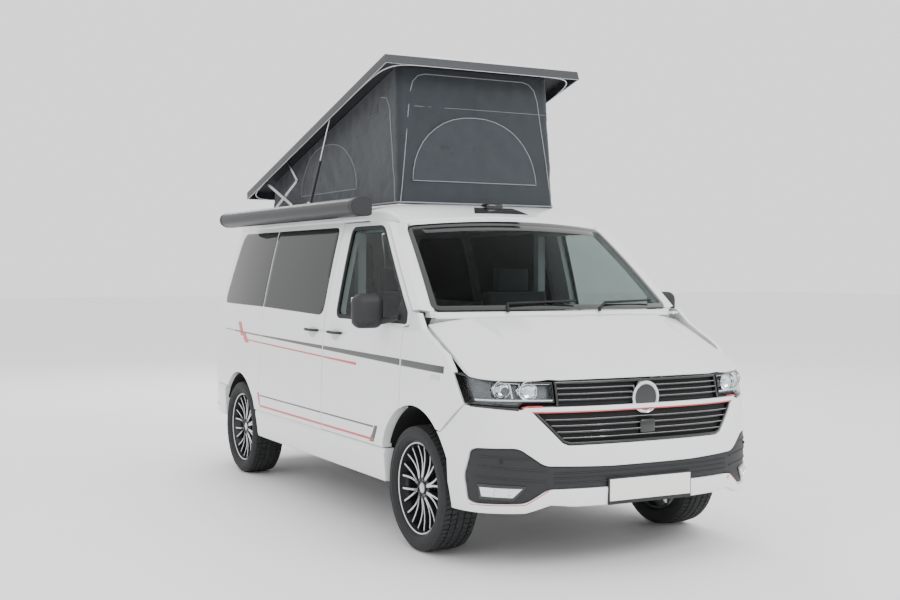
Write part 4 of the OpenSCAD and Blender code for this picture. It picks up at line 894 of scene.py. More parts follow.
def makeWheel(side, y, where, carrier):
    body = "wheel_" + where
    name = "".join(w if i == 0 else w.title() for i, w in enumerate(where.split("_"))) + "Wheel"
    centre = (wheel["centreX"], y, van["tyre"])
    hub = (side * wheel["centreX"], y, van["tyre"])
    h, t, r = wheel["width"] / 2, wheel["tyre"], wheel["rim"]
    base = t - wheel["tread"]
    profile = [(r - 0.002, -0.094), (r + 0.004, -0.105), (r + 0.012, -h + 0.008), (r + 0.026, -h + 0.001),
               (r + 0.045, -h), (r + 0.062, -h + 0.002), (base - 0.012, -h + 0.008), (base, -h + 0.018)]
    profile += [(base, x) for x in (-0.06, 0.0, 0.06)]
    profile += [(base, h - 0.018), (base - 0.012, h - 0.008), (r + 0.062, h - 0.002), (r + 0.058, h - 0.001),
                (r + 0.056, h - 0.003), (r + 0.045, h), (r + 0.030, h - 0.001), (r + 0.028, h - 0.004),
                (r + 0.024, h - 0.003), (r + 0.012, h - 0.008), (r + 0.004, h - 0.020), (r - 0.002, 0.086)]
    tyre = lathe(name + "Tyre", profile, centre, "tyreRubber", body, 120, side)
    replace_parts(tyre, "tyre_" + where)
    repeatShape(name + "Tread", treadBlocks(), wheel["pitches"], hub, (0, 0, 0),
                (2 * math.pi / wheel["pitches"], 0, 0), "tyreRubber", body)
    lip = [(r - 0.020, -0.090), (r - 0.003, -0.095), (r - 0.003, 0.083), (r + 0.002, 0.087),
           (r + 0.001, 0.0905), (r - 0.006, 0.0915), (r - 0.012, 0.088), (r - 0.016, 0.070),
           (r - 0.024, 0.040), (r - 0.032, 0.020), (r - 0.032, -0.060), (r - 0.022, -0.085)]
    rim = lathe(name + "Barrel", lip, centre, "rimBlack", body, 96, side)
    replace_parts(rim, "rim_" + where)
    lathe(name + "LipFace", [(r + 0.0005, 0.0896), (r - 0.0055, 0.0922), (r - 0.0115, 0.0892),
                             (r - 0.0085, 0.086)],
          centre, "rimFace", body, 96, side)
    legs = joined(*[flipped(spokeLeg(s, 0.0085, 0.030), side) for s in (-1, 1)])
    faces = joined(*[flipped(spokeLeg(s, 0.0062, 0.0012, 0.0006, 0.012), side) for s in (-1, 1)])
    turnStep = (2 * math.pi / wheel["spokes"], 0, 0)
    repeatShape(name + "Spokes", legs, wheel["spokes"], hub, (0, 0, 0), turnStep, "rimBlack", body)
    repeatShape(name + "SpokeFaces", faces, wheel["spokes"], hub, (0, 0, 0), turnStep, "rimFace", body)
    hubProfile = [(0.0, -0.024), (0.064, -0.024), (0.066, 0.030), (0.066, 0.056), (0.060, 0.064),
                  (0.040, 0.060), (0.0335, 0.058), (0.0335, 0.064), (0.031, 0.0665), (0.0, 0.068)]
    lathe(name + "Hub", hubProfile, centre, "rimBlack", body, 48, side, closed=False)
    lathe(name + "Cap", [(0.0285, 0.0655), (0.0285, 0.0685), (0.026, 0.0695), (0.022, 0.0685),
                         (0.0, 0.0700)], centre,
          "rimFace", body, 48, side, closed=False)
    bolt = lathePoints([(0.0, 0.066), (0.0055, 0.066), (0.0070, 0.063), (0.0070, 0.052), (0.0, 0.052)], 6,
                       0.050)
    repeatShape(name + "Bolts", flipped(bolt, side), 5, hub, (0, 0, 0), (2 * math.pi / 5, 0, 0),
                "discSteel", body)
    d = wheel["discR"]
    disc = [(0.070, 0.004), (0.070, 0.014), (0.095, 0.014), (0.097, -0.002), (d - 0.002, -0.002), (d, -0.004),
            (d, -0.024), (d - 0.002, -0.026), (0.070, -0.026)]
    lathe(name + "Disc", disc, centre, "discSteel", body, 72, side)
    parts = ([], [])
    away = -1 if where.startswith("front") else 1
    softBox("", (side * centre[0] - 0.035, y + away * 0.155 - 0.032, van["tyre"] - 0.06),
            (side * centre[0] + 0.020, y + away * 0.155 + 0.032, van["tyre"] + 0.09), 0.012, "", "",
            joinTo=parts)
    addObject(name + "Caliper", parts[0], parts[1], "underSteel", carrier)


def lathePoints(profile, segments, reach):
    # a small turned shape, moved out along Z by reach
    points, faces = [], []
    n = len(profile)
    for i in range(segments):
        a = 2 * math.pi * i / segments
        points += [(x, r * math.cos(a), reach + r * math.sin(a)) for r, x in profile]
    for i in range(segments):
        j = (i + 1) % segments
        faces += [(i * n + k, i * n + k + 1, j * n + k + 1, j * n + k) for k in range(n - 1)]
    return points, faces


for side, word in ((-1, "right"), (1, "left")):
    makeWheel(side, van["axleF"], "front_" + word, "knuckle_" + word)
    makeWheel(side, van["axleR"], "rear_" + word, "body")
print("wheels done")

# canvas, foot on the roof's frame and head inside the raised roof
canvas = {"half": 0.580, "front": -0.612, "rear": 1.700, "foot": 1.9725, "leanX": 0.020, "leanY": 0.068,
          "corner": 0.030, "keep": 0.05, "thick": 0.0014, "columns": 400, "rows": 44}
armShut = (1.649, 2.030)
armHead = (1.6112, 2.2487)
roofTurn = math.radians(15.3)


def liftPoint(y, z):
    v = (y - armShut[0], z - armShut[1])
    c, s = math.cos(roofTurn), math.sin(roofTurn)
    return armHead[0] + v[0] * c + v[1] * s, armHead[1] + v[1] * c - v[0] * s


def canvasTop(y):
    # height of the raised roof's inner edge over y
    return armHead[1] + (2.046 - armShut[1]) / math.cos(roofTurn) - (y - armHead[0]) * math.tan(roofTurn)


def ripple(s, t, z, tall):
    # gathered folds at the head and foot, and slack wrinkles between
    v = 0.0075 * noise.noise(Vector((s * 2.2, z * 4.0, 3.1))) + 0.004 * noise.noise(Vector((s * 7 + z * 5,
                                                                                            z * 9, 8.4)))
    v += 0.0022 * noise.noise(Vector((s * 17 - z * 12, z * 22, 1.7)))
    v += 0.0026 * math.sin(s * 46 + 3 * noise.noise(Vector((s * 3, 0, 5)))) * math.exp(-(1 - t) * tall / 0.07)
    v += 0.0022 * math.sin(s * 38 + 2 * noise.noise(Vector((s * 4, 2, 5)))) * math.exp(-t * tall / 0.06)
    # two tuck lines sewn across the wall
    for line in (0.42, 0.66):
        v -= 0.0022 * math.exp(-((t - line) * tall / 0.006) ** 2)
    return v * min(1, 9 * t) * min(1, 9 * (1 - t))


def canvasPlace(s):
    # point and outward normal of the wall's plan at distance s from the middle of the front
    w, f, r, c = canvas["half"], canvas["front"], canvas["rear"], canvas["corner"]
    lengths = [w - c, c * math.pi / 2, r - f - 2 * c, c * math.pi / 2, 2 * (w - c), c * math.pi / 2,
               r - f - 2 * c, c * math.pi / 2, w - c]
    s %= sum(lengths)
    k = 0
    while k < 8 and s > lengths[k]:
        s -= lengths[k]
        k += 1
    if k in (1, 3, 5, 7):
        cx, cy = (w - c) * (1 if k < 4 else -1), (f + c) if k in (1, 7) else (r - c)
        a = {1: -90, 3: 0, 5: 90, 7: 180}[k] + math.degrees(s / c)
        n = (math.cos(math.radians(a)), math.sin(math.radians(a)))
        return cx + c * n[0], cy + c * n[1], n
    return {0: (s, f, (0, -1)), 2: (w, f + c + s, (1, 0)), 4: (w - c - s, r, (0, 1)),
            6: (-w, r - c - s, (-1, 0)), 8: (-w + c + s, f, (0, -1))}[k]


canvasAcross = 2 * canvas["half"] + canvas["rear"] - canvas["front"]
canvasRound = 2 * canvasAcross - (8 - 2 * math.pi) * canvas["corner"]


def canvasPoint(s, t, out=0.0, rippled=True):
    # t runs up the wall from its foot to its head
    x, y, n = canvasPlace(s)
    y1 = y + canvas["leanY"] * t * (canvas["rear"] - y) / (canvas["rear"] - canvas["front"])
    x1 = x * (1 - canvas["leanX"] * t / canvas["half"])
    tall = canvasTop(y1) - canvas["foot"]
    z = canvas["foot"] + tall * t
    d = out + (ripple(s, t, z, tall) if rippled else 0.0)
    return Vector((x1 + n[0] * d, y1 + n[1] * d, z))


def gridShape(rows, columns, place, closedRound=False):
    # a quad grid, (points, faces)
    points = [place(i, j) for i in range(rows) for j in range(columns)]
    faces = []
    for i in range(rows - 1):
        for j in range(columns if closedRound else columns - 1):
            k = (j + 1) % columns
            faces.append((i * columns + j, i * columns + k, (i + 1) * columns + k, (i + 1) * columns + j))
    return points, faces


def makeCanvas():
    rows, columns = canvas["rows"] + 1, canvas["columns"]
    steps = [canvasRound * j / columns for j in range(columns)]
    outer, faces = gridShape(rows, columns, lambda i, j: canvasPoint(steps[j], i / (rows - 1)), True)
    inner, back = gridShape(rows, columns, lambda i, j: canvasPoint(steps[j], i / (rows - 1),
                                                                    -canvas["thick"]), True)
    n = len(outer)
    faces += [tuple(n + k for k in reversed(f)) for f in back]
    for row, turn in ((0, False), (rows - 1, True)):
        for j in range(columns):
            k = (j + 1) % columns
            a, b = row * columns + j, row * columns + k
            quad = (b, a, n + a, n + b)
            faces.append(tuple(reversed(quad)) if turn else quad)
    wall = addObject("canvasWall", outer + inner, faces, "canvasCloth", "body", sharp=180)
    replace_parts(wall, "canvas")
    return wall


canvasPieces = [makeCanvas()]


def canvasAt(s, z, d):
    # a place on the wall by its height, for makePanel
    y = canvasPlace(s)[1]
    t = (z - canvas["foot"]) / (canvasTop(y) - canvas["foot"])
    return canvasPoint(s, t, -d)


def canvasPiping(name, corners, radius, closed=False, material="piping"):
    path = [canvasAt(s, z, -radius * 0.4) for s, z in refine(corners, 0.012, closed)]
    canvasPieces.append(sweep(name, path, radius, material, "body", 6, 1.0, closed))


def sideAt(y, side):
    c = canvas["corner"]
    s = (canvas["half"] - c) + c * math.pi / 2 + (y - canvas["front"] - c)
    return s if side > 0 else canvasRound - s


def halfMoon(mid, low, high, half):
    # a half-moon with a straight foot
    pts = [(mid + half, low)]
    for i in range(1, 20):
        a = math.pi * i / 20
        pts.append((mid + half * math.copysign(abs(math.cos(a)) ** 0.9, math.cos(a)),
                    low + (high - low) * math.sin(a)))
    return pts + [(mid - half, low)]


moons = {"front": (-0.015, 2.126, 2.557, 0.465), "left": (sideAt(0.56, 1), 2.105, 2.455, 0.52),
         "right": (sideAt(0.56, -1), 2.105, 2.455, 0.52)}
for word, (mid, low, high, half) in moons.items():
    shape = halfMoon(mid, low, high, half)
    canvasPieces.append(makePanel(word + "CanvasMoon", shape, [], canvasAt, 0.0014, "canvasPanel", "body",
                                  roll=0.001, step=0.022, lift=-0.0018))
    canvasPiping(word + "CanvasMoonPiping", shape, 0.0028, True)
    canvasPiping(word + "CanvasMoonZip", [(mid + (s - mid) * 0.955, low + (z - low) * 0.94 + 0.010) for s,
                                          z in shape],
                 0.0020, True, "canvasPanel")
frontFrame = [(-0.566, 1.985), (-0.490, 2.700), (-0.470, 2.775), (-0.430, 2.815), (-0.380, 2.830),
              (0.380, 2.830), (0.430, 2.815), (0.470, 2.775), (0.490, 2.700), (0.566, 1.985)]
canvasPiping("frontCanvasFrame", frontFrame, 0.0032)
for side, word in ((1, "left"), (-1, "right")):
    sideFrame = [(sideAt(y, side), z) for y, z in ((-0.560, 1.985), (-0.500, 2.600), (-0.440, 2.680),
                                                   (-0.36, 2.690))]
    canvasPiping(word + "CanvasFrame", sideFrame, 0.0030)
    for k in range(3):
        a, b, z = sideAt(-0.315, side), sideAt(-0.165, side), 2.610 - 0.024 * k
        canvasPiping(word + "CanvasVent" + str(k), [(a, z + 0.030), (b, z)], 0.0052, False, "canvasPanel")
canvasPiping("canvasTuckLine", [(-0.55, 2.612), (0.55, 2.612)], 0.0014)
canvasPieces.append(sweep("canvasFootPiping", [canvasPoint(canvasRound * i / 240, 0.014, 0.004, False)
                                               for i in range(240)], 0.0055, "piping", "body",
                          6, 1.0, True))
for o in canvasPieces:
    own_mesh(o)
print("canvas done")

# raised roof: white shell over a dark lining, with a pale edge
shell = {"half": 0.716, "front": -0.742, "length": 2.717, "lip": 1.985, "edge": 2.042, "thick": 0.014}


def shellPoint(a, b, d):
    # CAD grid of the shut roof, angles in degrees, then carried to the raised roof
    e = 0.4
    signed = lambda v: math.copysign(abs(v) ** e, v)
    sx = signed(math.sin(math.radians(max(-90, min(90, a)))))
    sy = signed(math.sin(math.radians(max(-90, min(90, b)))))
    low = abs(a) > 90 or abs(b) > 90
    h = max(0, math.cos(math.radians(a))) ** e * max(0, math.cos(math.radians(b))) ** e
    x = (shell["half"] - d - (0 if abs(a) > 90 else 0.003)) * sx
    y = shell["front"] + shell["length"] / 2 + (shell["length"] / 2 - d - (0 if abs(b) > 90 else 0.003)) * sy
    z = shell["lip"] if low else shell["edge"] + (0.048 - 0.022 * sx * sx - 0.014 * sy * sy - d) * h
    y, z = liftPoint(y, z)
    return Vector((x, y, z))


def shellSlab(name, near, far, material, angles):
    n = len(angles)
    outer, faces = gridShape(n, n, lambda i, j: shellPoint(angles[i], angles[j], near))
    inner, back = gridShape(n, n, lambda i, j: shellPoint(angles[i], angles[j], far))
    k = n * n
    faces += [tuple(k + v for v in reversed(f)) for f in back]
    ring = [j for j in range(n)] + [i * n + n - 1 for i in range(1, n)]
    ring += [(n - 1) * n + j for j in range(n - 2, -1, -1)] + [i * n for i in range(n - 2, 0, -1)]
    for a, b in zip(ring, ring[1:] + ring[:1]):
        faces.append((b, a, k + a, k + b))
    return addObject(name, outer + inner, faces, material, "roof", sharp=40)


shellAngles = [-91] + [round(90 * math.copysign(abs(v) ** 1.25, v), 3) for v in np.linspace(-1, 1, 49)] + [91]
outerShell = shellSlab("roofShell", 0.0, 0.0055, "shellPaint", shellAngles)
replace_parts(outerShell, "roof_shell")
shellSlab("roofShellLining", 0.0060, 0.0135, "liningDark", shellAngles)
rim = [(a, -90) for a in shellAngles[1:-1]] + [(90, b) for b in shellAngles[2:-1]]
rim += [(a, 90) for a in shellAngles[-3:0:-1]] + [(-90, b) for b in shellAngles[-3:1:-1]]


def skirtPoint(row, k):
    # four rows: outer top, outer foot, inner foot, inner top
    a, b = rim[k]
    d = -0.0008 if row in (0, 1) else 0.0002
    if row in (1, 2):
        a, b = (a * 91 / 90 if abs(a) == 90 else a), (b * 91 / 90 if abs(b) == 90 else b)
    return shellPoint(a, b, d)


skirt = gridShape(4, len(rim), skirtPoint, True)
n = len(rim)
skirtFaces = skirt[1] + [(3 * n + j, 3 * n + (j + 1) % n, (j + 1) % n, j) for j in range(n)]
addObject("roofShellSkirt", skirt[0], skirtFaces, "skirtGrey", "roof", sharp=40)
edgePath = []
for k in range(241):
    a = 2 * math.pi * k / 240
    across, along = (math.copysign(abs(v) ** 0.18, v) for v in (math.cos(a), math.sin(a)))
    x = (shell["half"] - 0.004) * across
    y = along * (shell["length"] / 2 - 0.004) + shell["front"] + shell["length"] / 2
    edgePath.append(Vector((x, *liftPoint(y, shell["lip"] + 0.002))))
sweep("roofShellEdge", edgePath[:-1], 0.0042, "shellEdge", "roof", 8, 1.0, True)
parts = ([], [])
for side in (-1, 1):
    for x, y in ((0.682, armShut[0]), (0.636, 1.1812), (0.686, 0.2667)):
        softBox("", (min(side * x, side * (x + 0.006)), y - 0.016, 2.018),
                (max(side * x, side * (x + 0.006)), y + 0.016,
                                                                          2.056), 0.001, "", "", joinTo=parts)
lifted = [Vector((p[0], *liftPoint(p[1], p[2]))) for p in parts[0]]
addObject("roofBrackets", lifted, parts[1], "linkSteel", "roof")
print("roof shell done")


# nose details
def noseBar(name, half, z, d, radius, material, squash=0.6, bend=0.0):
    # a bar across the nose at one height
    path = [nosePoint(noseFromX(x, z + bend * x * x), z + bend * x * x, d) for x in np.linspace(-half,
                                                                                                half, 48)]
    return sweep(name, path, radius, material, "body", 8, squash)


def nosePath(points, d, side=1):
    path = [nosePoint(noseFromX(x, z), z, d) for x, z in refine(points, 0.03, False)]
    return [Vector((side * p.x, p.y, p.z)) for p in path]


def faceDisc(name, profile, centre, material, segments=64, sharp=35):
    # profile is (radius, depth) turned about the Y axis, depth towards the nose
    points, faces = [], []
    n = len(profile)
    for i in range(segments):
        a = 2 * math.pi * i / segments
        points += [(centre[0] + r * math.cos(a), centre[1] - h, centre[2] + r * math.sin(a)) for r,
                   h in profile]
    for i in range(segments):
        j = (i + 1) % segments
        faces += [(i * n + k, i * n + k + 1, j * n + k + 1, j * n + k) for k in range(n - 1)]
    return addObject(name, points, faces, material, "body", sharp=sharp)


grille = {"half": 0.524, "slat": 0.0085, "recess": 0.013, "stripZ": (0.838, 0.861), "badge": 0.086,
          "badgeZ": 0.893}
grilleBack = [(-0.526, 0.988), (0.526, 0.988), (0.529, 0.868), (0.668, 0.865), (0.622, 0.806), (0.510, 0.684),
              (0.476, 0.671), (-0.476, 0.671), (-0.510, 0.684), (-0.622, 0.806), (-0.668, 0.865),
              (-0.529, 0.868)]
back = makePanel("grilleBack", fromX(grilleBack), [], nosePoint, 0.010, "innerBlack", "body",
                 lift=0.026)
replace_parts(back, "grille")
inner = offsetLoop(refine(turned(fromX(grilleBack), True), 0.03), 0.012)
makePanel("grilleFrame", fromX(grilleBack), [inner], nosePoint, 0.026, "glossBlack", "body",
          roll=0.003, step=0.02, lift=0.003)
for k, z in enumerate((0.893, 0.922, 0.951)):
    noseBar("grilleSlatUpper" + str(k), 0.516, z, grille["recess"], grille["slat"], "glossBlack")
    noseBar("grilleTrimUpper" + str(k), 0.514, z + 0.004, grille["recess"] - 0.0065, 0.0018, "chrome")
for k, z in enumerate((0.702, 0.733, 0.764, 0.795)):
    half = 0.500 + (z - 0.684) * 0.85
    noseBar("grilleSlatLower" + str(k), half, z, grille["recess"], grille["slat"], "glossBlack")
    noseBar("grilleTrimLower" + str(k), half - 0.004, z + 0.004, grille["recess"] - 0.0065, 0.0018, "chrome")
low, high = grille["stripZ"]
strip = [(-0.690, high - 0.002), (-0.672, low), (0.672, low), (0.690, high - 0.002), (0.600, high),
         (-0.600, high)]
makePanel("grilleStrip", fromX(strip), [], nosePoint, 0.020, "whitePaint", "body", roll=0.003,
          step=0.02, lift=-0.002)
noseBar("grilleRedLine", 0.655, 0.834, 0.002, 0.0026, "stripeRed", 1.0)
for side in (-1, 1):
    sweep("grilleRedTip" + str(side), nosePath([(0.600, 0.866), (0.672, 0.866), (0.700, 0.858)], -0.001,
                                               side), 0.003,
          "stripeRed", "body", 8)
y = noseAt(grille["badgeZ"])
r = grille["badge"]
faceDisc("badge", [(0.0, 0.0085), (r * 0.80, 0.0075), (r * 0.82, 0.0045), (r * 0.86, 0.0045),
                   (r * 0.88, 0.0100), (r * 0.95, 0.0125), (r, 0.0090), (r, -0.022), (0.0, -0.022)],
         (0, y + 0.004, grille["badgeZ"]), "chrome")
faceDisc("badgeFace", [(0.0, 0.0092), (r * 0.79, 0.0086), (r * 0.80, 0.0060), (0.0, 0.0060)],
         (0, y + 0.004, grille["badgeZ"]), "glossBlack")
softBox("sensorCover", (-0.050, noseAt(0.745) - 0.001, 0.708), (0.046, noseAt(0.745) + 0.03, 0.780),
        0.010, "glossBlack", "body", 4)

# headlights
lampSet = {"cups": ((0.676, 0.050), (0.800, 0.047)), "cupZ": (0.938, 0.944), "deep": 0.055}
lampLow = [(0.538, 0.884), (0.690, 0.884), (0.718, 0.862), (0.885, 0.872)]
lampTop = [(0.862, 1.000), (0.800, 0.993), (0.700, 0.987), (0.538, 0.984)]
lampOutline = fromX(lampLow)
lampOutline += [(noseFromY(lampOuter[1][0] - 0.004, 0.872), 0.872),
                (noseFromY(lampOuter[0][0] - 0.006, 1.026), 1.026)]
lampOutline += fromX(lampTop)
lampOutline = turned(unique(lampOutline), True)
for side, name in ((1, "left"), (-1, "right")):
    house = makePanel(name + "LampHousing", lampOutline, [], nosePoint, 0.012, "lampHousing", "body",
                      side=side, step=0.02, lift=lampSet["deep"])
    if side == 1:
        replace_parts(house, "headlights")
    ring = offsetLoop(refine(lampOutline, 0.02), 0.005)
    makePanel(name + "LampSeal", lampOutline, [ring], nosePoint, 0.060, "glossBlack", "body",
              side=side, roll=0.0015, step=0.02, lift=0.0015)
    lens = offsetLoop(refine(lampOutline, 0.02), 0.004)
    makePanel(name + "LampLens", lens, [], nosePoint, 0.0022, "lampGlass", "body", side=side,
              roll=0.001, step=0.02, lift=0.0012)
    for k, (x, r) in enumerate(lampSet["cups"]):
        z = lampSet["cupZ"][k]
        c = nosePoint(noseFromX(x, z), z, lampSet["deep"] - 0.003)
        c = (side * c.x, c.y, z)
        cup = [(r, 0.036), (r + 0.0015, 0.038), (r + 0.003, 0.036), (r + 0.003, 0.0)]
        cup = [(r * math.sin(a), 0.036 - r * 0.72 * math.cos(a)) for a in np.linspace(0.0, math.pi / 2,
                                                                                      12)] + cup
        cup = [(q, h + 0.006) for q, h in cup]
        faceDisc(name + "LampCup" + str(k), cup, c, "lampReflector", 40)
        faceDisc(name + "LampBulb" + str(k), [(0.0, 0.034), (0.008, 0.031), (0.013, 0.022), (0.014, 0.0)], c,
                 "chrome", 24)
    glow = [(0.545, 0.893), (0.700, 0.893), (0.880, 0.893)]
    sweep(name + "LampStrip", nosePath(glow, 0.014, side), 0.0065, "lampLight", "body", 10, 0.8)
    sweep(name + "LampBrow", nosePath([(0.545, 0.975), (0.700, 0.978), (0.800, 0.984)], 0.018, side),
          0.005, "chrome", "body", 8, 0.8)
    divide = [(0.736, 0.900), (0.742, 0.975)]
    sweep(name + "LampDivide", nosePath(divide, 0.030, side), 0.006, "chrome", "body", 8)
    strip = fromX([(0.712, 0.842), (0.895, 0.858), (0.895, 0.866), (0.716, 0.858)])
    makePanel(name + "LampFoot", strip, [], nosePoint, 0.012, "glossBlack", "body",
              side=side, roll=0.0015, step=0.02, lift=-0.0008)

# bumper insert: ribs, fog lamps, pinstripe and the plate
for side, name in ((1, "left"), (-1, "right")):
    for k, rib in enumerate(([(0.600, 0.541), (0.886, 0.560)], [(0.600, 0.488), (0.888, 0.506)],
                             [(0.640, 0.600), (0.886, 0.610)])):
        sweep(name + "InsertRib" + str(k), nosePath(rib, 0.0105, side), 0.0055, "bumperPlastic", "body",
              8, 0.8)
    fog = fromX([(0.712, 0.452), (0.752, 0.404), (0.868, 0.404), (0.876, 0.452)])
    makePanel(name + "FogSurround", offsetLoop(refine(turned(fog, True), 0.02), -0.016), [], nosePoint, 0.010,
              "glossBlack", "body", side=side, roll=0.003, step=0.02, lift=0.004)
    makePanel(name + "FogLamp", turned(fog, True), [], nosePoint, 0.006, "lampReflector", "body",
              side=side, roll=0.002, step=0.02, lift=0.002)
    for x in (0.762, 0.820):
        c = nosePoint(noseFromX(x, 0.430), 0.430, 0.0035)
        faceDisc(name + "FogBulb" + str(x), [(0.0, 0.006), (0.012, 0.0035), (0.016, -0.001), (0.019, 0.0015),
                                             (0.021, -0.002)], (side * c.x, c.y, 0.430), "chrome",
                 24)
    pin = [(0.896, 0.357), (0.696, 0.369), (0.590, 0.441)]
    sweep(name + "InsertPinstripe", nosePath(pin, 0.0005, side), 0.0024, "stripeRed", "body",
          6)
    c = nosePoint(noseFromX(0.800, 0.585), 0.585, 0.008)
    faceDisc(name + "ParkSensor", [(0.0, 0.004), (0.009, 0.0035), (0.011, 0.0), (0.011, -0.004)],
             (side * c.x, c.y, 0.585), "rubber", 20)
for k, z in enumerate((0.478, 0.503, 0.528)):
    noseBar("insertSlat" + str(k), 0.560, z, 0.009, 0.0048, "bumperPlastic")
nose = van["nose"]
holder = softBox("plateHolder", (-0.268, nose + 0.0005, 0.352), (0.268, nose + 0.012, 0.492), 0.004,
                 "bumperPlastic", "body")
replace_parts(holder, "number_plates")
softBox("frontPlate", (-0.260, nose - 0.0020, 0.372), (0.260, nose + 0.001, 0.484), 0.0008, "plateWhite",
        "body")
tail = van["tail"]
softBox("rearPlate", (-0.260, tail - 0.0075, 0.525), (0.260, tail - 0.0035, 0.635), 0.0008, "plateWhite",
        "body")
print("nose details done")


# mirrors: head, glass, arm and sail on each front door
mirror = {"x": (0.960, 1.146), "y": (-1.236, -1.122), "z": (1.222, 1.420), "bevel": 0.052, "rim": 0.018,
          "armFoot": (-1.345, 1.288), "armRadii": [0.022, 0.020, 0.024, 0.026]}
sailOutline = [(pillarFoot[0] + 0.036, 1.264), (pillarFoot[0] + 0.041, 1.312), (pillarFoot[0] + 0.140, 1.394),
               (pillarFoot[0] + 0.170, 1.264)]
for side, name in ((1, "left"), (-1, "right")):
    body = "front_door_" + name
    x0, x1 = sorted((side * mirror["x"][0], side * mirror["x"][1]))
    head = softBox(name + "MirrorHead", (x0, mirror["y"][0], mirror["z"][0]),
                   (x1, mirror["y"][1], mirror["z"][1]), mirror["bevel"], "bumperPlastic", body,
                   6)
    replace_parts(head, "mirror_" + name)
    softBox(name + "MirrorGlass", (x0 + mirror["rim"], mirror["y"][1] - 0.004, mirror["z"][0] + 0.022),
            (x1 - mirror["rim"], mirror["y"][1] + 0.0015, mirror["z"][1] - 0.022), 0.002, "mirrorGlass", body,
            2)
    foot = sidePoint(*mirror["armFoot"], -0.004)
    arm = [Vector((side * foot.x, foot.y, foot.z)), Vector((side * 0.945, -1.262, 1.272)),
           Vector((side * 0.975, -1.205, 1.262)), Vector((side * 1.010, -1.180, 1.268))]
    sweep(name + "MirrorArm", arm, mirror["armRadii"], "bumperPlastic", body, 14, 0.8)
    makePanel(name + "MirrorSail", roundOff(sailOutline, 0.01), [], sidePoint, 0.011, "bumperPlastic", body,
              side=side, roll=0.003, step=0.02, lift=-0.005)

# door handles with their cups; each cup is a flat grey oval laid on the white paint, painted shade for the
# recess behind the handle
handle = {"z": 1.150, "cup": (0.062, 0.036), "rise": 0.012, "reach": 0.028, "radius": 0.0115}
handles = (("front_door_right", -1, -0.538, -0.335), ("front_door_left", 1, -0.538, -0.335),
           ("body", -1, -0.150, 0.050))
for k, (body, side, y0, y1) in enumerate(handles):
    z, (wide, high) = handle["z"], handle["cup"]
    oval = [((y0 + y1) / 2 + wide * math.cos(a), z - 0.004 + high * math.sin(a)) for a in
            np.linspace(0, 2 * math.pi, 28, endpoint=False)]
    makePanel("handleCupPaintedShade" + str(k), oval, [], sidePoint, 0.0012, "cupPaintedShade", body, side=side,
              roll=0.001, step=0.02, lift=-0.0012)
    path = []
    for t in np.linspace(0, 1, 14):
        out = 0.006 + handle["reach"] * math.sin(math.pi * t) ** 0.5
        p = sidePoint(y0 + (y1 - y0) * t, z + handle["rise"], -out)
        path.append(Vector((side * p.x, p.y, p.z)))
    sweep("handleBar" + str(k), path, handle["radius"], "bumperPlastic", body, 12, 0.75)

# dark rubber in the fixed seams
seamRubber = {"half": 0.0019, "low": 0.530, "high": 1.852}
for side, name in ((1, "left"), (-1, "right")):
    for k, y in enumerate((bSeam - 0.0014, cSeam)):
        low, high, half = seamRubber["low"], seamRubber["high"], seamRubber["half"]
        edge = [(y - half, low), (y + half, low), (y + half, high), (y - half, high)]
        makePanel(name + "SeamRubber" + str(k), edge, [], sidePoint, 0.006, "rubber", "body",
                  side=side, roll=0.0004, step=0.05, lift=0.006)

# stripes on both sides, cut at the seams
decals = {"lift": -0.0010, "depth": 0.0008}


def decal(name, outline, material, body, side):
    makePanel(name, outline, [], waistCrease, decals["depth"], material, body, side=side,
              roll=0.0002, step=0.03, lift=decals["lift"])


def band(y0, y1, middle, height):
    ys = np.linspace(y0, y1, max(2, int(abs(y1 - y0) / 0.08)))
    return [(y, middle(y) - height(y) / 2) for y in ys] + [(y, middle(y) + height(y) / 2) for y in ys[::-1]]


def stripeMiddle(y):
    return 1.088 - 0.058 * (1.893 - y) / 3.843


def stripeHeight(y):
    return 0.010 + 0.028 * min(1, max(0, (1.0 - y) / 2.4))


def redMiddle(y):
    return stripeMiddle(y) - 0.050 - 0.010 * (1.4 - y) / 2.0


